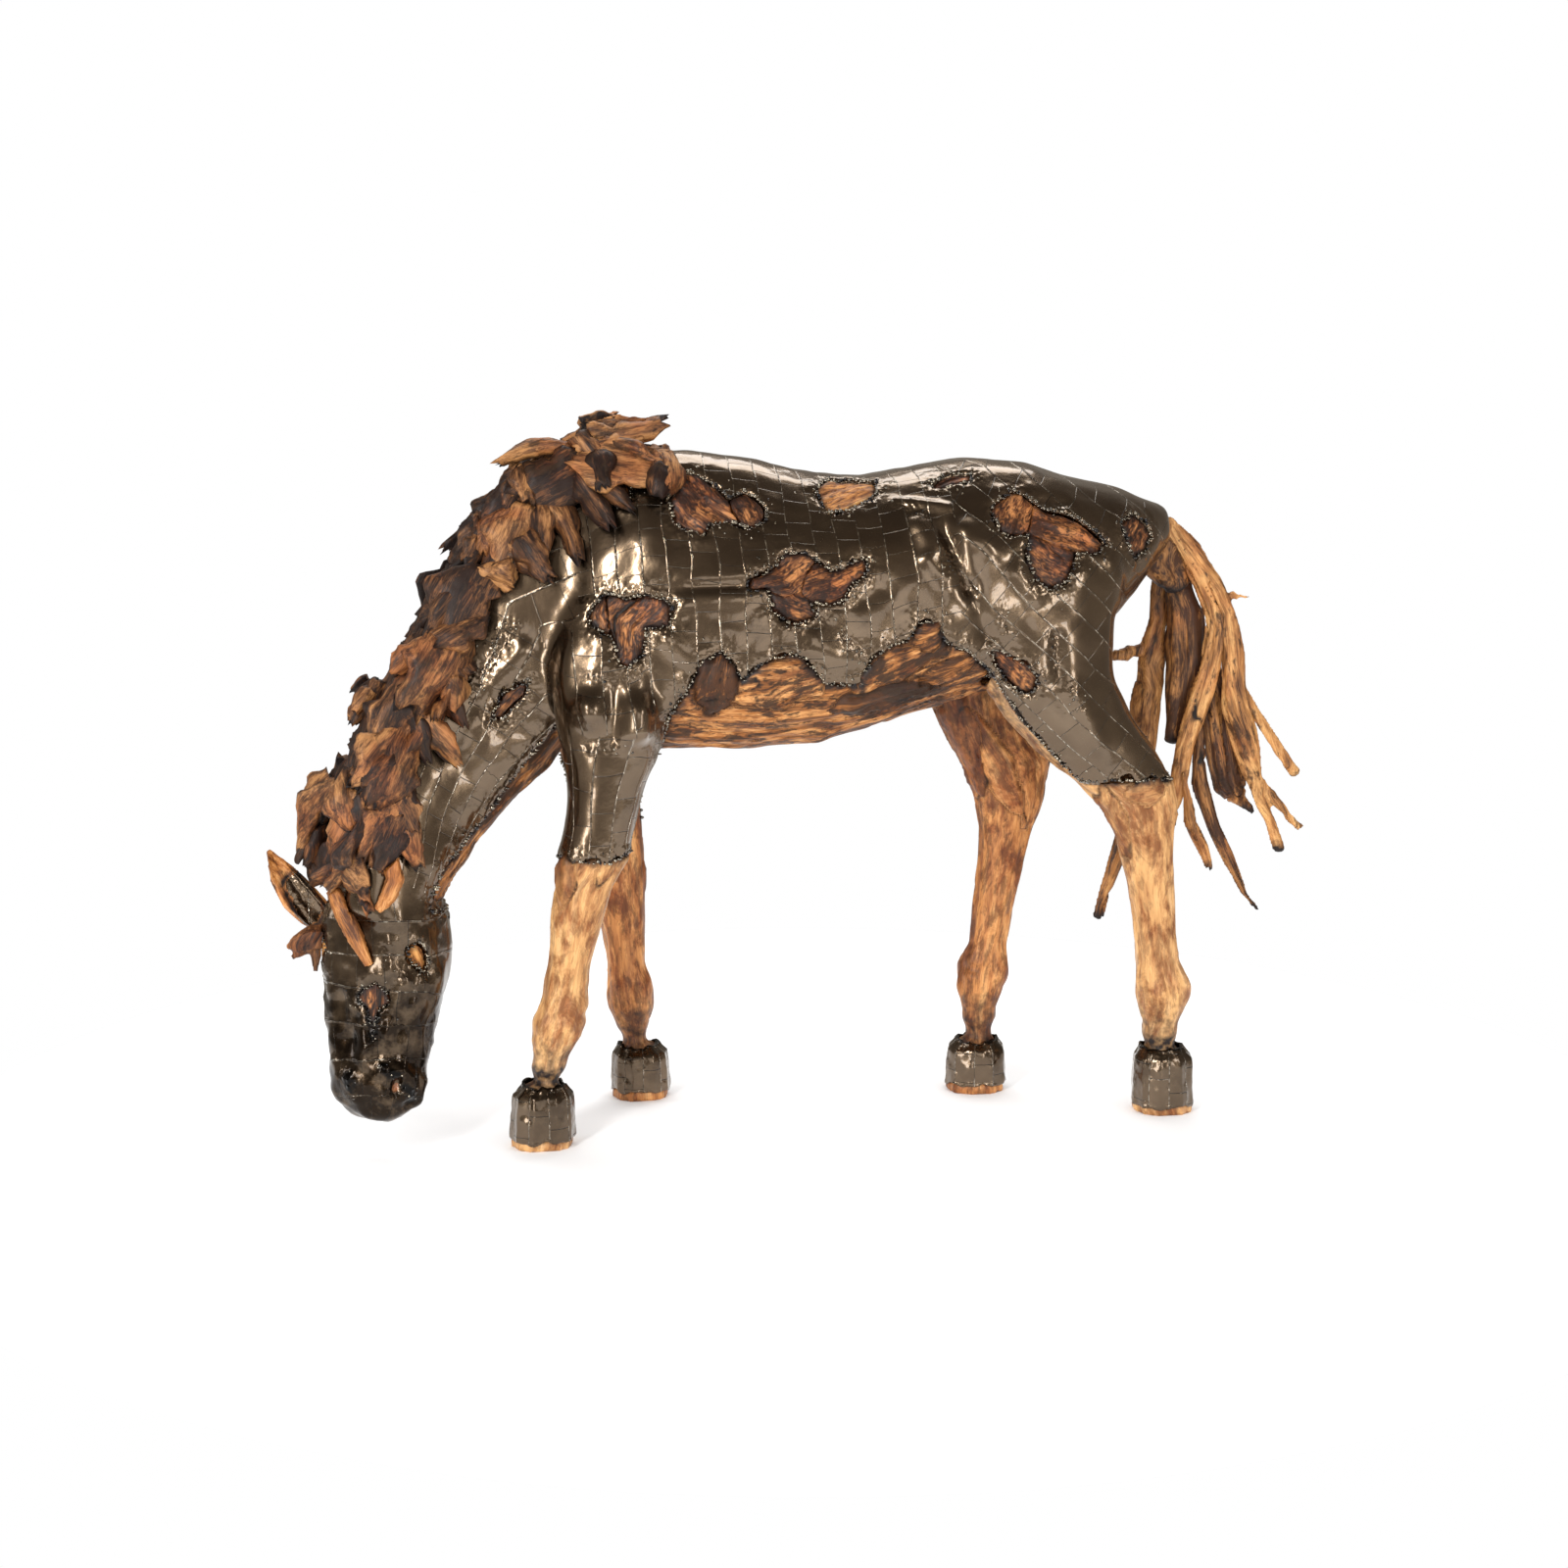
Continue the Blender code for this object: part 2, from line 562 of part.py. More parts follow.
# Wood showing through openings in the plate. Each group shares one opening and one direction:
# the way it is seen from, in degrees round from the horse's left side, then each piece of wood
# as points across and up in that view, in centimetres.
WINDOWS = {
    "withers": (0, {
        "withers_burl": ((-28, 143.5), (-26, 145.5), (-24, 149), (-21, 148.5), (-18, 146.5),
                         (-15, 143.5), (-14.5, 141), (-12, 137.5), (-15.5, 138.5), (-19.5, 138),
                         (-21, 136), (-25, 137), (-27.5, 138.5)),
        "withers_leaf": ((-15, 143.5), (-11, 145), (-9, 143.5), (-7, 141.5), (-7.5, 139),
                         (-10.5, 137.5), (-12, 137.5), (-14.5, 141)),
    }),
    "back": (0, {
        "back_block": ((4.5, 145), (8, 146.8), (13, 146.9), (19, 146.5), (18.5, 144.5),
                       (16, 142.5), (11.5, 141), (7, 140), (6, 141.5)),
    }),
    "loin": (0, {
        "loin_strip": ((30, 145.5), (33, 147.5), (36, 148.5), (40, 148.5), (39.5, 147),
                       (36, 146), (32.5, 145)),
    }),
    "flank": (0, {
        "flank_upper": ((-12.5, 124.5), (-11.5, 127), (-8, 128), (-5.5, 129.5), (-4, 132),
                        (0.5, 132), (3, 130.5), (0.5, 127.5), (-1, 123.5), (-4.5, 122.5),
                        (-8, 124)),
        "flank_lower": ((-8, 124), (-4.5, 122.5), (-1, 123.5), (1, 121.5), (2.5, 118.5),
                        (-1.5, 117), (-4.5, 117.5), (-7, 120)),
        "flank_right": ((0.5, 127.5), (3, 130.5), (6, 128), (9, 129), (13, 131), (14, 130),
                        (13.5, 127.5), (10.5, 125.5), (8.5, 122), (5.5, 121), (1, 121.5),
                        (-1, 123.5)),
    }),
    "shoulder": (0, {
        "shoulder_wedge": ((-42.5, 123.5), (-38, 122.5), (-33.5, 123.5), (-30.5, 122.5),
                           (-28.5, 121), (-29, 116.5), (-34, 116.5), (-35, 110.5), (-38, 108),
                           (-40, 109), (-41.5, 115)),
        "shoulder_sliver": ((-42.5, 123.5), (-41.5, 115), (-44, 115.5), (-46, 117.5),
                            (-45.5, 120)),
    }),
    "neck": (0, {
        "neck_slit": ((-67, 96), (-66, 98.5), (-64, 102), (-60.5, 103.5), (-58.5, 105),
                      (-59.5, 101), (-62, 98.5), (-64.5, 96)),
    }),
    "rump": (0, {
        "rump_left": ((42.5, 141), (45, 143), (47.5, 144.5), (50, 144.5), (53, 142),
                      (50.5, 135.5), (46, 135), (43.5, 136.5)),
        "rump_right": ((53, 142), (55, 140.5), (59.5, 140), (63.5, 138), (67.5, 134.5),
                       (69, 133), (66.5, 131), (61.5, 131.5), (56.5, 133), (50.5, 135.5)),
        "rump_lower": ((50.5, 135.5), (56.5, 133), (61.5, 131.5), (60.5, 128.5), (58.5, 125),
                       (54.5, 123.5), (51, 126), (49.5, 131)),
    }),
    "croup": (0, {
        "croup_burl": ((73.5, 137.5), (77, 139.5), (80.5, 137.5), (82, 134.5), (80, 131),
                       (77, 129.5), (75, 131.5), (74, 135)),
    }),
    "thigh": (0, {
        "thigh_front": ((42, 110.5), (46, 109), (50, 107), (52.5, 104), (52, 100.5),
                        (49, 100.5), (46.5, 103), (44, 106)),
    }),
    "crest": (0, {
        "crest_knob": ((-40, 145), (-39, 147.5), (-37, 148), (-35.5, 147), (-36, 144),
                       (-38, 142.5)),
    }),
    "face": (-28, {
        "face_blaze": ((-75.5, 37.5), (-73.5, 39.5), (-71, 41), (-69, 38.5), (-68.5, 36.5),
                       (-71, 34.5), (-72, 29), (-73, 35)),
    }),
    "near_eye": (62, {
        "near_eye": ((-61.8, 48.5), (-60, 49.6), (-58.5, 47.5), (-57.9, 44.5), (-58.8, 42.6),
                     (-60.8, 44), (-62.1, 46.8)),
    }),
    "far_eye": (242, {
        "far_eye": ((61.8, 48.5), (60, 49.6), (58.5, 47.5), (57.9, 44.5), (58.8, 42.6),
                    (60.8, 44), (62.1, 46.8)),
    }),
    "far_shoulder": (180, {
        "far_shoulder_wood": ((33, 125), (36, 123), (40, 122), (44, 119), (42, 112),
                              (38, 108), (35, 112), (32, 119)),
    }),
    "far_flank": (180, {
        "far_flank_wood": ((-16, 128), (-9, 131), (-3, 129), (4, 131), (9, 127), (5, 122),
                           (0, 119), (-6, 118), (-12, 121)),
    }),
    "far_rump": (180, {
        "far_rump_wood": ((-66, 138), (-60, 141), (-52, 142), (-46, 138), (-48, 131),
                          (-54, 126), (-61, 129), (-67, 133)),
    }),
    "far_neck": (180, {
        "far_neck_wood": ((60, 105), (64, 103), (67, 97), (65, 93), (61, 96), (58, 101)),
    }),
}


def face_tree(obj):
    mesh = obj.data
    return BVHTree.FromPolygons([v.co for v in mesh.vertices],
                                [tuple(p.vertices) for p in mesh.polygons])


def seen_at(tree, look, across, up):
    """The point and outward direction of a surface, seen level from an angle round the horse."""
    turn = math.radians(look)
    right = Vector((math.cos(turn), math.sin(turn), 0))
    ahead = Vector((-math.sin(turn), math.cos(turn), 0))
    start = right * cm(across) + Vector((0, 0, cm(up))) - ahead * REACH
    point, normal, _, _ = tree.ray_cast(start, ahead)
    return point, normal, start


def inset(outline, distance):
    """Moves each side of a flat polygon inwards, or outwards where distance is negative."""
    count = len(outline)
    area = sum(outline[i].x * outline[(i + 1) % count].y - outline[(i + 1) % count].x
               * outline[i].y for i in range(count))
    turn = 1 if area > 0 else -1
    moved = []
    for i in range(count):
        before = (outline[i] - outline[i - 1]).normalized()
        after = (outline[(i + 1) % count] - outline[i]).normalized()
        normal_before = Vector((-before.y, before.x)) * turn
        normal_after = Vector((-after.y, after.x)) * turn
        bisector = (normal_before + normal_after).normalized()
        reach = distance / max(bisector.dot(normal_before), 0.35)
        moved.append(outline[i] + bisector * reach)
    return moved


def window_prism(tree, group, name, margin, depth):
    """A plug through the skin along the group's shared direction. margin widens it."""
    look, pieces = WINDOWS[group]
    hits = [seen_at(tree, look, a, b) for points in pieces.values() for a, b in points]
    axis = sum((hit[1] for hit in hits), Vector()).normalized()
    centre = sum((hit[0] for hit in hits), Vector()) / len(hits)
    right = Vector((0, 0, 1)).cross(axis).normalized()
    up = axis.cross(right)
    flat = []
    for a, b in pieces[name]:
        offset = seen_at(tree, look, a, b)[0] - centre
        flat.append(Vector((offset.dot(right), offset.dot(up))))
    flat = inset(flat, -margin)
    lowest = min((hit[0] - centre).dot(axis) for hit in hits)
    rings = [[centre + right * p.x + up * p.y + axis * level for p in flat]
             for level in (lowest - depth, WINDOW_CLEAR)]
    return new_object(name, loft_mesh(name, rings))


def fill_windows(body, material):
    """Cuts every opening into the body and leaves its wood standing in it."""
    tree = face_tree(body)
    surface = clad_body(-RECESS)
    half_gap = GAP / 2
    pieces = []
    for group, (_, outlines) in WINDOWS.items():
        for name in outlines:
            plug = window_prism(tree, group, name, -half_gap, WINDOW_DEPTH - GAP)
            pieces.append((name, boolean(plug, copy_of(surface), "INTERSECT")))
    for group, (_, outlines) in WINDOWS.items():
        for name in outlines:
            boolean(body, window_prism(tree, group, name, half_gap, WINDOW_DEPTH), "DIFFERENCE")
    bpy.data.objects.remove(surface)
    for name, plug in pieces:
        dress(plug, name, material)


# Broad slabs of the mane laid astride the crest, under the shards: stations of the neck between
# which each one runs, half width, and how far it stands off at its upper and lower end
CREST_SLABS = {
    "mane_withers": ((-0.75, 0.15, 5.5, 0.4, 2.6), (0.0, 1.05, 6.5, 2.6, 2.6),
                     (0.9, 1.5, 6.5, 0.5, 0.8)),
    "mane_middle": ((1.5, 2.1, 6.5, 0.0, 0.8), (2.0, 3.0, 6.5, 0.3, 2.0)),
    "mane_poll": ((3.05, 4.1, 6.0, 3.0, 3.4), (3.8, 5.1, 5.5, 1.5, 5.0)),
}
CREST_SLAB_THICKNESS = 2.4
WITHERS_CREST = ((-28.0, 153.2), (-45.9, 148.5))

# Shards of the mane as seen from the left side: root x and z, tip x and z, half width. The first
# ones of each stretch are the broad slabs that lie under the others.
MANE = {
    "mane_withers": (
        (-46, 152, -61, 143, 4.6), (-29, 149.5, -47, 151, 4.2), (-59, 145, -72, 129, 4.6),
        (-57, 141, -63.5, 126, 4.2), (-45, 157.2, -28, 158.9, 2.4), (-28.5, 153, -29, 144, 3.0),
        (-47.5, 156, -41, 147, 2.8), (-48, 150, -40.5, 137.5, 2.4), (-53.5, 144.5, -48, 130.5, 2.2),
        (-59, 150, -64, 140, 1.9), (-63, 132.5, -53, 126, 2.2), (-68, 139, -72, 130, 2.2),
    ),
    "mane_middle": (
        (-68, 128, -76, 113, 4.8), (-74, 117, -84, 99, 5.0), (-82, 104, -89, 88, 5.0),
        (-69.5, 128, -62.5, 124, 2.0), (-68, 120, -79, 113.5, 3.1), (-80, 113, -86, 106, 2.5),
        (-76, 113, -70.5, 107, 2.5), (-76.5, 107, -73.5, 96, 2), (-90.5, 104, -96.5, 95.5, 2.4),
        (-84.5, 99, -75, 87.5, 2.6),
    ),
    "mane_poll": (
        (-86, 95, -93, 79, 4.8), (-90, 83, -98, 66, 5.0), (-87, 77, -92, 66, 3.8),
        (-89, 90, -95.5, 83, 3.4), (-90, 87, -84.5, 74.5, 3.6), (-97, 86, -96, 74, 2.6),
        (-99, 84, -105, 70, 2.6), (-97, 70, -104.5, 61, 3.6), (-99, 65, -94, 57.5, 1.7),
        (-104, 74, -107.6, 65, 1.7),
    ),
}
SHARD_HALF_THICKNESS = 2.3
SHARD_SPREAD = 1.45
SHARD_LIFTS = (0.4, 1.7, 1.0, 2.1)
FAR_SIDE_EVERY = 3
FAR_SIDE_WIDTH = 1.5


def shard(tree, look, root, tip, half_width, lift, grow=0.0):
    """A split of wood laid on the surface, thick at its middle and lifting to a blunt tip."""
    side = -1 if look == 0 else 1
    ends = []
    out = Vector()
    for across, up in (root, tip):
        point, normal, _ = seen_at(tree, look, -side * across, up)
        if point is None:
            beside = cm_point(across, side * 5, up)
            nearest, slope, _, _ = tree.find_nearest(beside)
            point = Vector((beside.x, nearest.y, beside.z))
            normal = slope * 0.6 + Vector((0, side, 0))
        ends.append(point)
        out += normal.normalized()
    out.normalize()
    start, end = ends[0] + out * cm(lift), ends[1] + out * cm(lift + 0.9)
    along = (end - start).normalized()
    thick = (out - along * out.dot(along)).normalized()
    wide = along.cross(thick)
    rings = []
    # Share of the length, of the width and of the thickness, and the rise in centimetres
    for share, width, depth, rise in ((-0.03, 0.66, 0.8, -0.2), (0.42, 1.0, 1.0, 0.4),
                                      (1.04, 0.32, 0.4, 0.2)):
        stretch = math.copysign(grow, share - 0.5)
        centre = start + (end - start) * share + along * stretch + thick * cm(rise)
        rings.append(oval(centre, wide, thick, cm(half_width * SHARD_SPREAD * width) + grow,
                          cm(SHARD_HALF_THICKNESS * depth) + grow, SHARD_SIDES, 2.6))
    return new_object("shard", loft_mesh("shard", rings))


def crest_at(station):
    """The crest's place and outward direction at a station of the neck, or behind its first one."""
    if station < 0:
        (x1, z1), (x0, z0) = WITHERS_CREST
        place = cm_point(x0 - (x1 - x0) * station, 0, z0 - (z1 - z0) * station)
        return place, Vector((z0 - z1, 0, x1 - x0)).normalized()
    first = min(int(station), len(NECK) - 2)
    share = station - first
    x, y, z, slope, depth, _, twist = (a + (b - a) * share
                                       for a, b in zip(NECK[first], NECK[first + 1]))
    out = neck_frame(slope, twist)[0]
    return cm_point(x, y, z) + out * cm(depth), out


def crest_slab(start, end, half_width, rise_start, rise_end, grow=0.0):
    """A broad split of wood astride the crest."""
    (top, out_top), (foot, out_foot) = crest_at(start), crest_at(end)
    top, foot = top + out_top * cm(rise_start), foot + out_foot * cm(rise_end)
    along = (foot - top).normalized()
    out = out_top + out_foot
    thick = (out - along * out.dot(along)).normalized()
    wide = along.cross(thick)
    rings = []
    for share, width, depth in ((-0.08, 0.7, 0.7), (0.45, 1.0, 1.0), (1.08, 0.55, 0.55)):
        centre = top + (foot - top) * share + along * math.copysign(grow, share - 0.5)
        rings.append(oval(centre, wide, thick, cm(half_width * width) + grow,
                          cm(CREST_SLAB_THICKNESS * depth) + grow, SHARD_SIDES, 2.6))
    return new_object("slab", loft_mesh("slab", rings))


def mane_shards(tree, name, grow=0.0):
    """One stretch of mane: slabs on the crest, then shards down both sides, fewer on the far one."""
    made = [crest_slab(*slab, grow) for slab in CREST_SLABS[name]]
    for i, (x0, z0, x1, z1, half) in enumerate(MANE[name]):
        root, tip, lift = (x0, z0), (x1, z1), SHARD_LIFTS[i % len(SHARD_LIFTS)]
        made.append(shard(tree, 0, root, tip, half, lift, grow))
        on_far_side = all(seen_at(tree, 180, -x, z)[0] for x, z in (root, tip))
        if on_far_side and i % FAR_SIDE_EVERY == 0:
            made.append(shard(tree, 180, root, tip, half * FAR_SIDE_WIDTH, lift, grow))
    return made


def build_mane(tree, core, material):
    """Three stretches of shards fused where they touch, each cut to fit the one above."""
    above = []
    for name in MANE:
        shards = mane_shards(tree, name)
        stretch = shards[0]
        for other in shards[1:]:
            boolean(stretch, other, "UNION")
        for cutter in above:
            boolean(stretch, cutter, "DIFFERENCE")
        above = mane_shards(tree, name, GAP)
        boolean(stretch, copy_of(core), "DIFFERENCE")
        dress(stretch, name, material)
    for cutter in above:
        bpy.data.objects.remove(cutter)


# Sticks, as runs of points: x, y, z and half width
STICKS = {
    "tail_dock": (((79, 0, 138, 3.2), (85.5, 0, 133, 4.8), (90, 0, 126.5, 3.9),
                   (93, 0, 121.5, 2.0)),),
    "tail_main": (((88, -1, 137.5, 1.5), (93.6, -1, 130, 1.9), (98.6, -1, 122.5, 2.4),
                   (102.1, -1, 114.5, 2.7), (101.1, -1, 103, 2.4), (98.1, -1, 94, 2.2),
                   (95.1, -1, 84.5, 2.0), (94.1, -1, 76.5, 1.7), (92.9, -1, 68, 1.0),
                   (92.6, -1, 63.5, 0.5)),),
    "tail_outer": (((89.8, 0.5, 137, 1.0), (96, 0, 130.6, 1.8), (100.7, -1.5, 123, 2.1),
                    (104.3, -1.5, 115.5, 2.2), (106, -1.5, 106.5, 2.6), (107.3, -1.5, 93.5, 3.3),
                    (110.5, -1.5, 83, 2.9), (113, -1.5, 74.5, 1.9), (116.5, -1.5, 66.5, 1.2),
                    (119, -1.5, 59, 0.6)),
                   ((102, -1.5, 119, 1.6), (106.3, -1.5, 119.6, 1.1), (109.3, -1.5, 119, 0.6)),
                   ((107, -1.5, 100.5, 1.0), (113.2, -1.5, 90.5, 1.1), (118.2, -1.5, 82.5, 1.1),
                    (122.2, -1.5, 77.5, 0.6)),
                   ((111.5, -1.5, 78.5, 1.3), (117.5, -1.5, 70.7, 1.2), (124, -1.5, 64.2, 0.7))),
    "tail_dark": (((92.7, 3, 124.5, 1.9), (95.6, 3, 114.5, 3.9), (96.3, 3, 105.5, 3.7),
                   (95.5, 3, 96, 3.1), (93.8, 3, 85, 1.4)),),
    "tail_loop": (((90.5, 3.5, 127, 1.3), (90.5, 6.5, 120, 1.7), (90.3, 6.5, 113, 1.8),
                   (89.2, 6.5, 107, 2.6), (89.2, 6.5, 99, 3.1), (88, 6.5, 93, 3.6),
                   (87.5, 6.5, 84, 3.0), (86.5, 6.5, 72, 2.0), (83, 6.5, 60.5, 1.7),
                   (80, 6.5, 52, 1.5), (77, 6.5, 42.5, 0.8)),
                  ((88.5, 6.5, 107, 1.8), (83.5, 6.5, 105.7, 1.2), (79.7, 6.5, 105, 0.8))),
    "tail_slab": (((102.5, 2.8, 103, 1.5), (104.5, 2.8, 91, 3.4), (106.3, 2.8, 81.5, 4.0),
                   (107.7, 2.8, 74, 3.6), (110, 2.8, 70.5, 1.6), (114, 2.8, 67.5, 0.6)),),
    "tail_sweep": (((100, 1.0, 91, 0.9), (99, 0.9, 84, 1.5), (100, 0.5, 75.5, 1.9),
                    (103, 0, 65, 1.9), (107.6, 0, 55.5, 1.6), (111.1, 0, 49, 1.2),
                    (114.6, 0, 44.3, 0.6)),),
    "tail_short": (((94.3, -2.7, 79, 0.9), (96.2, -2.7, 66.5, 1.3), (99.2, -2.7, 60.7, 1.2),
                    (101.7, -2.7, 55, 0.5)),),
    "far_ear": (((-98, -8.5, 48.5, 1.8), (-102, -9, 50.5, 3.0), (-106.1, -9, 53.6, 4.0),
                 (-109.4, -9, 57.4, 4.3), (-112.6, -9, 62.3, 3.3), (-115.4, -9, 68, 0.5)),),
    "near_ear": (((-91, -24.5, 73, 1.6), (-89.5, -26, 68.5, 2.2), (-88.5, -26.5, 64, 2.3),
                  (-90, -27.2, 60.5, 2.1), (-92.5, -27.6, 57.5, 1.0)),),
    "forelock": (((-101.5, -20, 61, 1.8), (-99.5, -22, 56, 2.1), (-97, -23, 50.5, 1.8),
                  (-94.5, -24.3, 45, 1.1)),),
    "cheek_splinter": (((-99, -12, 49.3, 2.6), (-106.5, -12.5, 48.6, 3.3),
                        (-109.8, -12.5, 47.6, 2.2), (-112.1, -12.5, 47, 0.6)),
                       ((-105.7, -12.5, 49, 2.0), (-106, -12.5, 41.1, 0.7)),
                       ((-106, -12.5, 47.5, 1.9), (-111.1, -12.5, 44.6, 0.6))),
}
STICK_FLATNESS = 0.66


def run_of(points, grow):
    """A stick along a run of points, its rings square to the run and flattened across the horse."""
    places = [cm_point(x, y, z) for x, y, z, _ in points]
    rings = []
    for i, place in enumerate(places):
        along = (places[min(i + 1, len(places) - 1)] - places[max(i - 1, 0)]).normalized()
        wide = along.cross(Vector((0, -1, 0))).normalized()
        thin = wide.cross(along)
        if i in (0, len(places) - 1):
            place = place + along * (grow if i else -grow)
        half = cm(points[i][3])
        rings.append(oval(place, thin, wide, half * STICK_FLATNESS + grow, half + grow,
                          BRANCH_SIDES, 2.2))
    return new_object("run", loft_mesh("run", rings))


def stick(name, grow=0.0):
    runs = STICKS[name]
    whole = run_of(runs[0], grow)
    for points in runs[1:]:
        boolean(whole, run_of(points, grow), "UNION")
    return whole


def build_sticks(tree, core, material_of):
    """Tail, ears and forelock, each cut to fit the body and the sticks before it."""
    done = []
    for name in STICKS:
        piece = boolean(stick(name), copy_of(core), "DIFFERENCE")
        for other in done:
            if other.startswith("tail") == name.startswith("tail"):
                boolean(piece, stick(other, GAP), "DIFFERENCE")
        if name in ("near_ear", "far_ear", "forelock", "cheek_splinter"):
            for cutter in mane_shards(tree, "mane_poll", GAP):
                boolean(piece, cutter, "DIFFERENCE")
        done.append(name)
        dress(piece, name, material_of(name))


def belly_wood(material):
    belly = boolean(torso(-PLATE), belly_tool(GAP), "INTERSECT")
    for tool in [neck(GAP)] + [limb(name, GAP) for name in LEGS]:
        boolean(belly, tool, "DIFFERENCE")
    return dress(belly, "belly_wood", material)


def throat_wood(material):
    throat = boolean(neck(-PLATE), throat_tool(GAP), "INTERSECT")
    for tool in (torso(GAP), head(GAP), limb("near_fore", GAP),
                 limb("far_fore", GAP)):
        boolean(throat, tool, "DIFFERENCE")
    return dress(throat, "throat_wood", material)


def scale_to_size():
    for obj in bpy.data.objects:
        obj.data.transform(Matrix.Scale(SIZE, 4))


def centre_on_ground():
    """Moves everything so that the middle of the bounding box stands over the origin."""
    corners = [v.co for obj in bpy.data.objects for v in obj.data.vertices]
    low = Vector([min(c[i] for c in corners) for i in range(3)])
    high = Vector([max(c[i] for c in corners) for i in range(3)])
    shift = Vector((-(low.x + high.x) / 2, -(low.y + high.y) / 2, -low.z))
    for obj in bpy.data.objects:
        obj.data.transform(Matrix.Translation(shift))
    return shift


def main():
    clear_scene()
    steel = principled("blackened_steel", (0.10, 0.085, 0.07), 0.3, 1.0)
    leg_wood = principled("honey_wood", (0.52, 0.27, 0.11), 0.55, 0.0)
    burl_wood = principled("burl_wood", (0.34, 0.13, 0.045), 0.5, 0.0)
    mane_wood = principled("dark_wood", (0.20, 0.085, 0.035), 0.6, 0.0)

    body = clad_body()
    tree = face_tree(body)
    core = carcass(GAP)
    build_mane(tree, core, mane_wood)
    build_sticks(tree, core, lambda name: leg_wood if name.startswith("tail") else mane_wood)
    bpy.data.objects.remove(core)
    belly_wood(leg_wood)
    throat_wood(leg_wood)
    for name in LEGS:
        wooden_leg(name, leg_wood)
        hoof_cup(name, steel)
    fill_windows(body, burl_wood)
    dress(body, "armour", steel)
    scale_to_size()
    return centre_on_ground()


SHIFT = main()
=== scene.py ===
"""A life-size grazing horse of reclaimed wood, clad in small welded plates of dark lacquered steel."""

import math
import random

import bmesh
import bpy
import numpy as np
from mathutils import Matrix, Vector
from mathutils.bvhtree import BVHTree
from mathutils.kdtree import KDTree


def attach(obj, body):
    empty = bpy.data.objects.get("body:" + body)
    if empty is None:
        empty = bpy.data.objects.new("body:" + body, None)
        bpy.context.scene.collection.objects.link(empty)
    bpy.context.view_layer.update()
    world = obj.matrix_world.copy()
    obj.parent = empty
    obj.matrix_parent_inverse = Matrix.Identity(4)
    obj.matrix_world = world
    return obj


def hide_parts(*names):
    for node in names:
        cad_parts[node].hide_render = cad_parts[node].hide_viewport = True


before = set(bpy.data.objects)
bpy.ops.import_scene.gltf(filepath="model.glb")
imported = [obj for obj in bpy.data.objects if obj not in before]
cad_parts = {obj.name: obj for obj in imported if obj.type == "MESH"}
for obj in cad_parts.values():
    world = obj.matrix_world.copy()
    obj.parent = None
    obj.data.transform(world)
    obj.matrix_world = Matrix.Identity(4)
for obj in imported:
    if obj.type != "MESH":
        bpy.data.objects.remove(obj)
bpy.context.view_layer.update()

# The studio: a pale painted floor in a pale room, lit by softboxes, and the camera.
# The horse stands on the floor side-on, seen from a little above its back.


def linear(code):
    """An sRGB hex colour as linear red, green, blue and alpha."""
    parts = [int(code[i:i + 2], 16) / 255 for i in (0, 2, 4)]
    return (*[c / 12.92 if c <= 0.04045 else ((c + 0.055) / 1.055) ** 2.4 for c in parts], 1.0)


def add(tree, kind, inputs=None, stops=(), **settings):
    """Adds a node with its settings and links, or feeds one that is there already. inputs maps a
    socket's name or number to a value, a socket, or a node, whose first output in use is taken.
    stops are a colour ramp's places and colours."""
    made = kind
    if isinstance(kind, str):
        made = tree.nodes.new(kind if "Node" in kind else "ShaderNode" + kind)
    for key, value in settings.items():
        setattr(made, key, value)
    for i, (where, code) in enumerate(stops):
        stop = made.color_ramp.elements[i] if i < 2 else made.color_ramp.elements.new(where)
        stop.position, stop.color = where, linear(code)
    for key, value in (inputs or {}).items():
        if isinstance(value, bpy.types.Node):
            value = next(socket for socket in value.outputs if socket.enabled)
        if isinstance(value, bpy.types.NodeSocket):
            tree.links.new(value, made.inputs[key])
        else:
            made.inputs[key].default_value = value
    return made


def calc(tree, operation, *values):
    """Adds a Math node that works on numbers, sockets or nodes."""
    return add(tree, "Math", dict(enumerate(values)), operation=operation)


def mix_colours(tree, factor, under, over, way="MIX"):
    """Adds a Mix of two colours, all of the second where the factor is 1. Its sockets 6 and 7 are
    the colours."""
    return add(tree, "Mix", {"Factor": factor, 6: under, 7: over}, data_type="RGBA", blend_type=way)


def new_material(name):
    """A material with its empty shader and the tree that they stand in."""
    material = bpy.data.materials.new(name)
    material.use_nodes = True
    tree = material.node_tree
    return material, tree, tree.nodes["Principled BSDF"]


def put_in_scene(obj):
    """Links an object to the scene and gives it back."""
    bpy.context.scene.collection.objects.link(obj)
    return obj


camera_data = bpy.data.cameras.new("camera")
camera_data.lens = 56
camera_data.sensor_width = 36
camera = put_in_scene(bpy.data.objects.new("camera", camera_data))
camera.location = (-0.9982, -5.4024, 1.65)
camera.rotation_euler = (math.radians(81), 0, math.radians(-10))
bpy.context.scene.camera = camera
bpy.context.scene.view_settings.view_transform = "Standard"

# What the camera and the matt surfaces see is a pale room. Gloss sees the same room as a
# photographer lights it: pale low down, flagged off dark above, so the steel stays dark
ROOM_PALE = linear("ffffff")
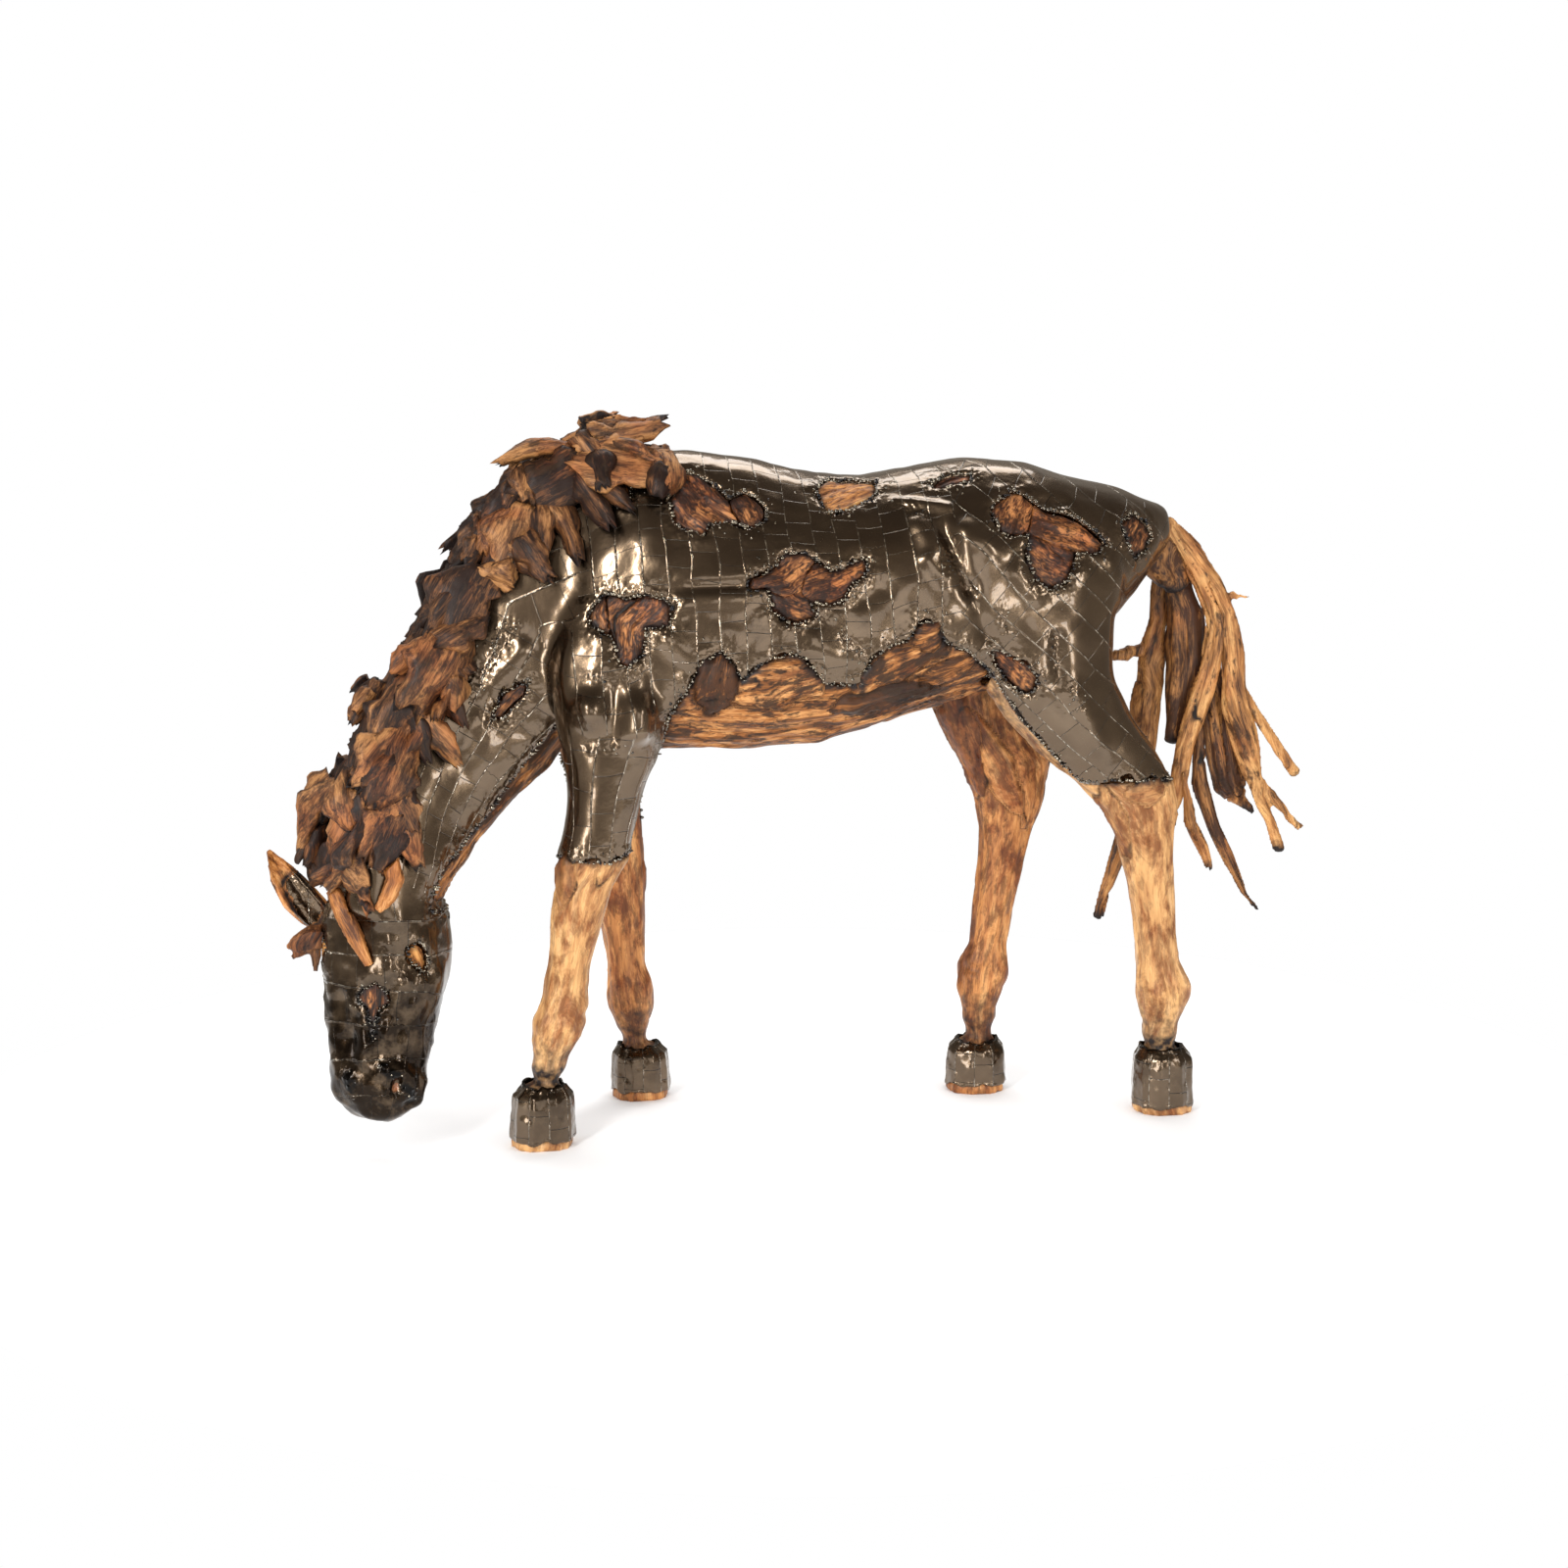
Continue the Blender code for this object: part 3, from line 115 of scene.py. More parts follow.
# How the room looks in gloss: sine of the height angle, and tone
ROOM_IN_GLOSS = ((-0.70, "f2eee8"), (-0.40, "c2bab0"), (-0.16, "9c948a"), (0.10, "90887e"),
                 (0.45, "857d73"), (1.0, "5e5750"))
world = bpy.data.worlds.new("room")
bpy.context.scene.world = world
world.use_nodes = True
room = world.node_tree
height = add(room, "SeparateXYZ", {0: add(room, "TexCoord").outputs["Generated"]})
level = add(room, "MapRange", {"Value": height.outputs["Z"], "From Min": -1.0})
in_gloss = add(room, "ValToRGB", {0: level}, [((sine + 1) / 2, code) for sine, code in ROOM_IN_GLOSS])
ray = add(room, "LightPath").outputs["Is Glossy Ray"]
seen = mix_colours(room, ray, ROOM_PALE, in_gloss)
add(room, room.nodes["Background"], {"Color": seen, "Strength": 1.0})

FLOOR_RADIUS = 2.0
FLOOR_SIDES = 96
floor_edge = [(FLOOR_RADIUS * math.cos(2 * math.pi * i / FLOOR_SIDES),
               FLOOR_RADIUS * math.sin(2 * math.pi * i / FLOOR_SIDES), 0) for i in range(FLOOR_SIDES)]
floor_mesh = bpy.data.meshes.new("floor")
floor_mesh.from_pydata(floor_edge, [], [tuple(range(FLOOR_SIDES))])
floor = put_in_scene(bpy.data.objects.new("floor", floor_mesh))
# Painted studio floor: flat and pale, with a faint unevenness
floor_paint, tree, shader = new_material("matt_floor_paint")
mottle = add(tree, "TexNoise", {"Scale": 1.5})
pale = mix_colours(tree, mottle, linear("fbfbfb"), linear("f6f6f6"))
add(tree, shader, {"Base Color": pale, "Roughness": 0.9})
floor_mesh.materials.append(floor_paint)


def softbox(name, place, aim, wide, high, power):
    """A softbox with its width and height in metres and its power in watts."""
    data = bpy.data.lights.new(name, "AREA")
    data.shape = "RECTANGLE"
    data.size, data.size_y, data.energy = wide, high, power
    light = put_in_scene(bpy.data.objects.new(name, data))
    light.location = place
    light.rotation_euler = (Vector(aim) - Vector(place)).to_track_quat("-Z", "Y").to_euler()


softbox("key_softbox", (-3.4, -4.6, 3.3), (-0.2, 0, 1.1), 0.7, 2.2, 150)
softbox("side_softbox", (3.4, -4.2, 2.6), (0.3, 0, 0.9), 0.6, 1.8, 38)
softbox("left_strip", (-2.40, -2.80, 0.55), (-0.4, -0.1, 0.75), 0.55, 1.2, 25)
softbox("right_strip", (1.55, -3.1, 0.55), (0.5, -0.2, 0.9), 0.42, 1.1, 12)
softbox("top_softbox", (0.3, 2.0, 4.2), (0, 0, 1.2), 3.4, 1.4, 58)
softbox("front_panel", (0.35, -5.7, 1.4), (0.1, 0, 1.2), 2.4, 2.1, 23)
softbox("head_softbox", (-4.4, 0.6, 1.6), (-0.8, -0.1, 0.6), 0.7, 1.8, 24)

# The plated body: about five centimetre squares of 3 mm steel, welded edge to edge in strips over
# the barrel, neck, head and upper limbs, beaten into dents and hollows, ground and lacquered.
# It is nailed and welded round the wooden carcass, and wood shows where it was left open.

# The horse's own middle, from which the places of plates and dents are given, in metres
SHIFT = np.array((-0.04322, 0.01363, 0.0))
# The net that the plated body is modelled on, in metres
PLATE_NET = 0.0080


def cad_shape(node):
    """A CAD node as a mesh that can be cut, its doubled corners joined."""
    shape = bmesh.new()
    shape.from_mesh(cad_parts[node].data)
    bmesh.ops.remove_doubles(shape, verts=shape.verts, dist=1e-5)
    return shape


def skin_of(node, net):
    """A closed skin of small squares over a CAD node, as points and faces."""
    shape = cad_shape(node)
    bmesh.ops.recalc_face_normals(shape, faces=shape.faces)
    mesh = bpy.data.meshes.new("skin")
    shape.to_mesh(mesh)
    shape.free()
    obj = put_in_scene(bpy.data.objects.new("skin", mesh))
    modifier = obj.modifiers.new("skin", "REMESH")
    modifier.mode = "VOXEL"
    modifier.voxel_size = net
    fine = bpy.data.meshes.new_from_object(obj.evaluated_get(bpy.context.evaluated_depsgraph_get()))
    bpy.data.objects.remove(obj)
    points = np.empty(len(fine.vertices) * 3)
    fine.vertices.foreach_get("co", points)
    faces = np.empty(len(fine.loops), np.int64)
    fine.loops.foreach_get("vertex_index", faces)
    return points.reshape(-1, 3), faces.reshape(-1, 4)


def edges_of(faces):
    """Each pair of points that share an edge, once."""
    pairs = np.concatenate([faces[:, [i, (i + 1) % faces.shape[1]]] for i in range(faces.shape[1])])
    return np.unique(np.sort(pairs, axis=1), axis=0)


def normals_of(points, faces):
    """Outward directions at the points of a net of squares."""
    corners = points[faces]
    cross = np.cross(corners[:, 2] - corners[:, 0], corners[:, 3] - corners[:, 1])
    total = np.zeros_like(points)
    for i in range(4):
        for axis in range(3):
            total[:, axis] += np.bincount(faces[:, i], cross[:, axis], len(points))
    return total / np.maximum(np.linalg.norm(total, axis=1, keepdims=True), 1e-12)


def relax(values, edges, rounds, freedom=1.0):
    """Evens out values over neighbouring points, round by round."""
    count = np.bincount(edges.ravel(), minlength=len(values))[:, None]
    for _ in range(rounds):
        total = np.zeros_like(values)
        for axis in range(values.shape[1]):
            total[:, axis] = (np.bincount(edges[:, 0], values[edges[:, 1], axis], len(values))
                              + np.bincount(edges[:, 1], values[edges[:, 0], axis], len(values)))
        values = values + 0.5 * freedom * (total / np.maximum(count, 1) - values)
    return values


def fair(points, edges, rounds, freedom=1.0):
    """Smooths a surface without shrinking it: what the first pass takes off broadly goes back on."""
    once = relax(points, edges, rounds, freedom)
    return once + relax(points - once, edges, rounds, freedom) * freedom


def grain(points, seed, octaves=1):
    """Smooth random values from -1 to 1 at points in space, one wave to a unit."""
    total, size, weight = np.zeros(len(points)), 1.0, 1.0
    for octave in range(octaves):
        place = points * size + 31.7 * octave
        cell = np.floor(place).astype(np.int64)
        f = place - cell
        f = f * f * f * (f * (f * 6 - 15) + 10)
        for corner in np.ndindex(2, 2, 2):
            key = (cell + corner).astype(np.uint64)
            mixed = (key[:, 0] * np.uint64(73856093)) ^ (key[:, 1] * np.uint64(19349663)) \
                ^ (key[:, 2] * np.uint64(83492791)) ^ np.uint64(seed * 2654435761 + octave * 97)
            mixed = (mixed ^ (mixed >> np.uint64(15))) * np.uint64(2246822519)
            mixed = (mixed ^ (mixed >> np.uint64(13))) * np.uint64(3266489917)
            value = ((mixed >> np.uint64(16)) & np.uint64(65535)).astype(float) / 32767.5 - 1
            share = np.prod(np.where(np.array(corner), f, 1 - f), axis=1)
            total += weight * value * share
        size, weight = size * 2, weight * 0.5
    return total


def bell(away, reach):
    """1 where away is nought, falling smoothly to next to nothing at twice the reach."""
    return np.exp(-(away / reach) ** 2)


def unit(values):
    """Values held between 0 and 1."""
    return np.clip(values, 0, 1)


# Rings of the body, in centimetres from the horse's own middle: centre, then the half width and
# the half depth as vectors
BARREL = [((x, 0, (top + low) / 2), (0, -half, 0), (0, 0, (top - low) / 2)) for x, top, low, half in (
    (-56, 126.5, 106, 7), (-45, 146.6, 88.5, 19), (-34, 153.2, 86.8, 23), (-8, 151.9, 86.5, 26.5),
    (18, 148.1, 90.3, 27.5), (42, 152.3, 97.5, 26.5), (66, 147.2, 106, 22.5), (89, 140, 131, 5.5))]
NECK = [((-44, 0, 121), (0, -17, 0), (-2, 0, 27)), ((-57, -.5, 116.2), (0, -14, 0), (-9, 0, 24.8)),
        ((-66.2, -2.5, 100.5), (1, -11.4, 0), (-13.1, -1.4, 16.9)),
        ((-75.4, -6, 87.2), (2.4, -10, 0), (-13.1, -3.7, 11)),
        ((-82.8, -10, 75.3), (4.5, -8.9, 0), (-11.6, -7.2, 8.2)),
        ((-88.5, -14, 62), (6, -8, 0), (-8.6, -9.5, 5))]
HEAD = [((-92.8, -15.5, 62.5), (8.8, -4.7, 0), (-4.3, -8, .8)),
        ((-92.9, -16, 47.3), (12.2, -6.5, 0), (-5.9, -11, 1.1)),
        ((-93.5, -17, 31), (10.7, -5.7, 0), (-4.6, -8.7, .8)),
        ((-94.3, -19, 10), (5.5, -2.9, 0), (-2.5, -4.7, .5))]
FORE_SLEEVES = [[((-39.5, side * 14.5, 112), (13, 0, 0), (0, side * 9, 0)),
                 ((-41, side * 16.3, 92), (11.5, 0, 0), (0, side * 8.8, 0)),
                 ((-44 + 4 * (side > 0), side * 16.8, 72), (8.2, 0, 0), (0, side * 6.8, 0)),
                 ((-45.2 + 7 * (side > 0), side * 16.6, 65), (7.9, 0, 0), (0, side * 6.5, 0))]
                for side in (-1, 1)]
HIND_SLEEVES = [[((55.5, -13.5, 126), (20, 0, 0), (0, -12, 0)),
                 ((57.4, -14.8, 103), (15.8, 0, 0), (0, -10.2, 0)),
                 ((69.3, -14.2, 86), (14.2, 0, 0), (0, -7.6, 0)),
                 ((78, -13.6, 76), (10.5, 0, 0), (0, -6.5, 0))],
                [((54, 13.5, 126), (20, 0, 0), (0, 12, 0)), ((51.5, 14.8, 103), (17, 0, 0), (0, 10.4, 0)),
                 ((56.2, 14.1, 79), (10.8, 0, 0), (0, 7.2, 0))]]


def on_rings(points, rings):
    """For points in centimetres: length along the rings, angle round them, and how far out."""
    best = np.full((len(points), 3), np.inf)
    start = 0.0
    for (c0, u0, v0), (c1, u1, v1) in zip(rings, rings[1:]):
        c0, axis = np.array(c0, float), np.subtract(c1, c0)
        length = np.linalg.norm(axis)
        t = unit((points - c0) @ axis / length ** 2)[:, None]
        away = points - c0 - t * axis
        u, v = np.array(u0) + t * np.subtract(u1, u0), np.array(v0) + t * np.subtract(v1, v0)
        a = (away * u).sum(1) / (u * u).sum(1)
        b = (away * v).sum(1) / (v * v).sum(1)
        past = np.abs(away @ axis) / length / 10
        found = np.stack([start + t[:, 0] * length, np.arctan2(b, a), np.hypot(a, b) + past], axis=1)
        best = np.where((found[:, 2] < best[:, 2])[:, None], found, best)
        start += length
    return best


# How far the plates of a strip are shifted against the last strip's, as a share of a plate
STAGGER = 0.381966
# Plate sizes in centimetres: across a strip and along it
BARREL_PLATE = (5.3, 5.8)
RUMP_PLATE = (5.6, 7.0)
NECK_PLATE = (5.2, 6.4)
HEAD_PLATE = (8.0, 9.5)
SLEEVE_PLATE = (5.2, 7.6)
# The radii in centimetres at which the angle round each part is measured off in plates
BARREL_ROUND, NECK_ROUND, HEAD_ROUND, SLEEVE_ROUND = 29, 19, 12.5, 8.2
# Where the strips begin to slant over the rump, in centimetres, and how much; how far those of the
# barrel lean; and above which height in centimetres they go on over the forelegs
RUMP_STARTS = 34.0
RUMP_SLANT = math.radians(42)
BARREL_LEAN = 0.06
FORE_SLEEVE_TOP = 93
# How far the lines of plates wander, in plates, and over how many centimetres
WANDER = 0.13
WANDER_OVER = 13
# Added to every plate's number, so that none is below nought
FIRST_PLATE = 50.0


def wrapped(angle, middle):
    """Angles turned by whole rounds to lie beside those of their face."""
    return angle + 2 * np.pi * np.round((middle - angle) / (2 * np.pi))


def plate_layout(points, faces):
    """Strip and plate numbers with their fractions, at each corner of each face."""
    cm = (points - SHIFT) * 100
    centres = cm[faces].mean(1)
    # Parts 0 to 6: barrel, neck, head, the sleeves of the forelegs and those of the hind legs
    runs = [BARREL, NECK, HEAD, *FORE_SLEEVES, *HIND_SLEEVES]
    at_points = [on_rings(cm, run) for run in runs]
    at_faces = [on_rings(centres, run) for run in runs]
    part = np.argmin(np.stack([found[:, 2] for found in at_faces]), axis=0)
    part[np.isin(part, (3, 4)) & (centres[:, 2] > FORE_SLEEVE_TOP)] = 0
    diagonal = np.isin(part, (5, 6)) | ((part == 0) & (centres[:, 0] > RUMP_STARTS))
    layout = np.zeros((len(faces), faces.shape[1], 2))
    x, z = cm[faces][..., 0], cm[faces][..., 2]
    for i in range(len(runs)):
        length = at_points[i][faces, 0]
        angle = wrapped(at_points[i][faces, 1], at_faces[i][:, 1:2])
        if i == 0:
            made, size = (x + BARREL_LEAN * z, angle * BARREL_ROUND), BARREL_PLATE
        elif i == 1:
            made, size = (angle * NECK_ROUND, length), NECK_PLATE
        elif i == 2:
            made, size = (length, angle * HEAD_ROUND), HEAD_PLATE
        else:
            made, size = (angle * SLEEVE_ROUND, z), SLEEVE_PLATE
        layout = np.where((part == i)[:, None, None], np.stack(made, axis=-1) / size, layout)
    c, s = math.cos(RUMP_SLANT), math.sin(RUMP_SLANT)
    slanted = np.stack([x * s + z * c, x * c - z * s], axis=-1) / RUMP_PLATE
    layout = np.where(diagonal[:, None, None], slanted, layout)
    wander = np.stack([grain(cm / WANDER_OVER, seed, 2) for seed in (3, 4)], axis=1) * WANDER
    return layout + wander[faces] + FIRST_PLATE


# Dents and bulges beaten into the plate: the two ends of each in centimetres, its reach, and how
# far it stands out or, below nought, lies in
DENTS = (
    ((-46.6, -24.5, 99.4), (-46.2, -24.5, 98.6), 4.6, 4.4),
    ((-46.6, -24.5, 99.4), (-46.2, -24.5, 98.6), 7.0, -1.4),
    ((-36.4, -25, 98), (-36.6, -25, 94.5), 4.9, 4.4), ((-36.4, -25, 98), (-36.6, -25, 94.5), 7.4, -1.4),
    ((-41.2, -24.8, 104), (-41.5, -24.8, 93), 1.8, -0.8),
    ((-34, -24, 124.8), (-12, -25, 125.4), 1.3, -1.3), ((-33, -24, 121), (-14, -25, 122.3), 2.4, 0.8),
    ((31, -23, 138), (36.5, -26, 124), 2.0, -1.7), ((36.5, -26, 124), (41.5, -25, 112), 2.0, -1.3),
    ((36, -23.5, 136), (36.5, -24, 134.5), 4.0, 1.5), ((40.5, -24.5, 133), (41, -24.6, 132), 3.6, 1.2),
    ((26, -21.5, 137.5), (29, -23, 132), 3.2, 1.3), ((22, -17, 143), (33, -19.5, 141), 1.8, 1.0),
    ((27, -24.5, 130), (31, -25.5, 126), 2.4, 1.1), ((47, -26, 127), (51, -25.8, 122), 2.6, 1.0),
    ((60.5, -24, 101), (63, -23.6, 97), 2.8, 1.2), ((56.5, -25, 113), (57.5, -24, 104), 1.8, -0.9),
    ((65, -22, 94), (68, -21.5, 88), 2.6, 1.1), ((-28, -24, 132), (-20, -25.4, 134.5), 3.0, 1.1),
    ((-10, -25.6, 132), (-4, -26.2, 135), 2.8, 0.9), ((-36, -22.6, 135.5), (-31, -23.5, 131), 3.0, 1.2),
    ((2, -27, 113), (7, -27, 110), 4.0, 1.0), ((-30, -24.5, 114), (-24, -25.5, 109), 3.6, 1.1),
    ((12, -27, 122), (17, -27, 124.5), 3.2, -0.9), ((-52, -20.5, 116), (-50, -21, 126), 3.4, -1.0),
    ((-66, -12.5, 104), (-60, -14, 111), 3.0, 1.2), ((-70, -13, 96), (-73, -13.5, 90), 2.6, 1.0),
    ((70, -19, 128), (72, -17, 120), 3.2, 1.0), ((52, -20, 143), (60, -17, 142), 2.6, -0.8),
    ((-89.9, -24.1, 53.1), (-88, -24.1, 54), 3.2, 1.0), ((-89.5, -24.5, 50.2), (-89.5, -24.5, 44), 1.9, 0.9),
    ((-84.6, -23.7, 45.6), (-84, -23.5, 46.6), 2.6, -0.9), ((-86.8, -24.4, 41.5), (-91, -24.6, 30), 1.8, 1.0),
    ((-94, -24.4, 40), (-93.4, -24.6, 25), 1.6, -1.0), ((-79.5, -19.5, 41), (-80.5, -20, 37), 4.0, 0.9),
    ((-94.6, -24.5, 44), (-96, -23.5, 24), 3.0, 0.8), ((-101, -20, 36), (-100.4, -20.6, 26), 2.6, -1.1),
    ((-88.2, -24, 33), (-89.6, -24.3, 25), 2.4, -1.0), ((-84.2, -22.6, 40.5), (-87, -23.6, 34.5), 2.6, 1.0),
    ((-99.2, -22, 19.5), (-98.7, -22.3, 16.2), 2.4, 0.9),
    ((-92.5, -24.9, 22), (-88.4, -24.4, 21.6), 2.2, 0.9),
    ((-89.3, -25, 17.2), (-89.1, -25, 18.8), 1.6, -2.2), ((-86.2, -23.6, 19.6), (-86.3, -23.4, 16), 1.8, 0.9),
    ((-93.4, -23.4, 13.9), (-86.8, -22.4, 13.5), 1.2, -1.0), ((-96, -22.8, 10.5), (-88, -22, 10.2), 2.6, 0.6),
    ((-97.8, -22.3, 33), (-99, -21.6, 28), 2.2, -0.8), ((-86, -22.5, 27), (-86.5, -22.6, 23), 1.6, -0.8),
    ((-84.4, -20, 17.5), (-85, -20, 14), 2.6, 1.6), ((-87.5, -24.4, 37.5), (-90, -24.8, 34), 2.2, -0.8),
)
# Where the torch has worked the steel hard away from any opening: the two ends, and the reach
SPATTERED = (
    ((-71, -14, 103), (-62.5, -14, 116), 2.2), ((31.8, -24.4, 131), (32.5, -24.6, 128), 2.2),
    ((60.5, -24, 101), (62, -24, 97.5), 2.2), ((55, -25.6, 113.5), (57, -25, 105), 1.4),
    ((-50, -24, 90.5), (-36, -25, 90.5), 1.3), ((-50, -24, 106), (-34, -25, 106.5), 1.2),
    ((-98.7, -22.5, 18), (-99.5, -22, 20.5), 2.3), ((-92, -24.9, 22.5), (-89.5, -24.6, 20.5), 2.0),
    ((-87, -24, 17.5), (-86, -22.5, 14), 1.7), ((-90.5, -24.3, 49), (-88.3, -24.3, 42.5), 2.1),
    ((-104.6, -18, 55), (-104, -18, 42), 1.5), ((8, -26.8, 114), (12, -26.8, 111), 1.8),
    ((22, -17.5, 143), (28, -20, 139), 2.0), ((-31, -22.5, 136), (-29, -24, 128), 1.6),
    ((-46, -21, 131), (-34, -22.8, 132), 1.7), ((43, -25, 120), (46, -25, 113), 1.5),
)


def away_from(cm, start, end):
    """How far points lie from the straight stretch between two ends, in centimetres."""
    start, along = np.array(start), np.subtract(end, start)
    t = unit((cm - start) @ along / max(along @ along, 1e-9))[:, None]
    return np.linalg.norm(cm - start - t * along, axis=1)


def nearness(cm, runs):
    """1 on a run, falling to nought past its reach, for points in centimetres."""
    return np.max([bell(away_from(cm, start, end), reach) for start, end, reach in runs], axis=0)


# How high the plate ends on the fore and the hind legs, in metres
HEMS = (0.65, 0.79)


def ragged_hems(points):
    """How far points of the plate lie up or down where a sleeve ends in torn, uneven plates."""
    hem = np.where(points[:, 0] < 0, *HEMS)
    near = bell(points[:, 2] - hem, 0.022) * (points[:, 2] < hem + 0.05)
    near = near * ((points[:, 0] > 0.30) | ((points[:, 0] > -0.60) & (points[:, 0] < -0.25)))
    return near * 0.018 * grain(points * (32, 32, 0) + 5.3, 77, 2)


def sink_and_swell(points):
    """How far each point of the plate moves along its normal, in metres."""
    cm = (points - SHIFT) * 100
    moved = grain(cm / 15, 11) * 0.32 + grain(cm / 7.5, 12) * 0.24 + grain(cm / 3.6, 13) * 0.06
    for start, end, reach, depth in DENTS:
        moved += depth * np.exp(-(away_from(cm, start, end) / reach) ** 2 * 1.6)
    return moved / 100


WOODEN = [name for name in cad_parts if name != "armour" and not name.endswith("hoof_cup")]
UNDER_PLATE = [name for name in WOODEN if not name.startswith(("mane", "tail_"))
               and name not in ("far_ear", "near_ear", "forelock", "cheek_splinter")]


def rims_of_plate():
    """Runs of points along every edge where the plate's outer face ends at bare wood."""
    wood = bmesh.new()
    for node in UNDER_PLATE:
        wood.from_mesh(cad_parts[node].data)
    beside = BVHTree.FromBMesh(wood)
    wood.free()
    plate = cad_shape("armour")
    touching = {}
    for face in plate.faces:
        near = beside.find_nearest(face.calc_center_median())
        touching[face] = near[3] is not None and near[3] < 0.0012 and abs(near[1].dot(face.normal)) > 0.9
    linked = {}
    for edge in plate.edges:
        if len(edge.link_faces) == 2 and touching[edge.link_faces[0]] != touching[edge.link_faces[1]]:
            for a, b in (edge.verts, reversed(edge.verts)):
                linked.setdefault(a, []).append(b)
    runs, used = [], set()
    for first in sorted(linked, key=lambda v: (len(linked[v]) == 2, v.index)):
        for second in linked[first]:
            if frozenset((first, second)) in used:
                continue
            run = [first, second]
            used.add(frozenset(run))
            while True:
                onward = [v for v in linked[run[-1]] if frozenset((run[-1], v)) not in used]
                if len(linked[run[-1]]) != 2 or not onward:
                    break
                used.add(frozenset((run[-1], onward[0])))
                run.append(onward[0])
            runs.append([v.co.copy() for v in run])
    plate.free()
    return [run for run in runs if sum((b - a).length for a, b in zip(run, run[1:])) > 0.02]


def spread_along(run, step):
    """Points along a run, no further apart than step."""
    made = []
    for a, b in zip(run, run[1:]):
        count = max(1, math.ceil((b - a).length / step))
        made += [a.lerp(b, i / count) for i in range(count)]
    return made + [run[-1]]


def distance_to(places, points):
    """How far each point is from the nearest place."""
    tree = KDTree(len(places))
    for i, place in enumerate(places):
        tree.insert(place, i)
    tree.balance()
    return np.array([tree.find(point)[2] for point in points])


def piece_from(name, points, faces, material, attributes, uv=None):
    """A smooth-shaded piece of the statue, with the values that its material reads."""
    mesh = bpy.data.meshes.new(name)
    mesh.from_pydata(points.tolist(), [], faces)
    for label, values in attributes.items():
        flat = np.asarray(values, np.float32)
        kind, field = ("FLOAT_VECTOR", "vector") if flat.ndim == 2 else ("FLOAT", "value")
        mesh.attributes.new(label, kind, "POINT").data.foreach_set(field, flat.ravel())
    if uv is not None:
        mesh.uv_layers.new(name="plates").data.foreach_set("uv", uv.astype(np.float32).ravel())
    mesh.shade_smooth()
    mesh.materials.append(material)
    return put_in_scene(bpy.data.objects.new(name, mesh))


def set_in_statue(piece, slot, *nodes):
    """Hides the CAD nodes that a piece stands for and puts the piece in the one body. The slot is not used.
    """
    if nodes:
        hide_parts(*nodes)
    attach(piece, "root")


# Mild steel plate, hot-rolled, welded, ground over and lacquered: a warm dark grey under a hard gloss, each
# plate a shade apart, fine pale weld along the long seams with a painted highlight on its beads, and a dark
# cut between plates; blued and sooty where the torch has been, and darkened over the head and the hoof cups
# by soot together with painted shade
plate_steel, tree, shader = new_material("lacquered_welded_steel")
place = add(tree, "TexCoord").outputs["Object"]
weld, soot_and_shade_amount, bare = [add(tree, "Attribute", attribute_name=label).outputs["Fac"]
                     for label in ("weld", "soot_and_shade", "bare")]
# Noises: waves to a metre, detail and roughness
cloud, speck, stitch, torch_soot, drift, bead_step, ripple = [
    add(tree, "TexNoise", {"Vector": place, "Scale": waves, "Detail": detail, "Roughness": rough})
    for waves, detail, rough in ((9, 5, 0.6), (260, 2, 0.5), (85, 3, 0.5), (55, 4, 0.5), (24, 4, 0.65),
                                 (210, 1, 0.5), (30, 3, 0.5))]
# Plate by plate: strip and row, the fractions across and along, and random tones
plates = add(tree, "SeparateXYZ", {0: add(tree, "UVMap", uv_map="plates")})
strip = calc(tree, "FLOOR", plates.outputs["X"])
staggered = calc(tree, "MULTIPLY_ADD", strip, STAGGER, plates.outputs["Y"])
row = calc(tree, "FLOOR", staggered)
across, along = [calc(tree, "FRACT", run) for run in (plates.outputs["X"], staggered)]
long_seam, cross_seam = [calc(tree, "PINGPONG", run, 0.5)
                         for run in (plates.outputs["X"], staggered)]
number = add(tree, "TexWhiteNoise", {"Vector": add(tree, "CombineXYZ", {"X": strip, "Y": row})})
tones = add(tree, "SeparateColor", {0: number.outputs["Color"]}).outputs
blend = calc(tree, "MULTIPLY_ADD", tones[0], 0.22, cloud)
colour = add(tree, "ValToRGB", {0: blend}, ((0.35, "665543"), (0.95, "7d6a55")))
# Where each layer lies: from what, where it begins, where it is full, and how strong it then is
cut = calc(tree, "MINIMUM", long_seam, cross_seam)
soot_and_shade = calc(tree, "ADD", weld, torch_soot)
soot_and_shade = calc(tree, "MULTIPLY_ADD", soot_and_shade_amount, 0.45, soot_and_shade)
in_cut, stitched, long_line, cross_line, black_soot_and_shade, nostril, bead = [
    add(tree, "MapRange", {"Value": part, "From Min": begins, "From Max": full, "To Max": most})
    for part, begins, full, most in (
        (cut, 0.014, 0.004, 1), (stitch, 0.45, 0.62, 1), (long_seam, 0.024, 0.010, 1),
        (cross_seam, 0.014, 0.006, 0.14), (soot_and_shade, 1.28, 1.62, 1), (bare, 0.35, 0.6, 1),
        (long_seam, 0.045, 0.014, 1))]
weld_line = calc(tree, "MAXIMUM", long_line, cross_line)
# Pale weld along the seams, lightened further as a painted highlight on its beads
weld_and_glint = calc(tree, "MULTIPLY", weld_line, stitched)
drifting = add(tree, "MapRange", {"Value": drift, "From Min": 0.36, "From Max": 0.62, "To Min": 0.45,
                                  "To Max": 1.25})
# Soot and painted shade, mottled in drifting patches, over the head and the hoof cups
mottled_soot_and_shade = calc(tree, "MULTIPLY", soot_and_shade_amount, drifting)
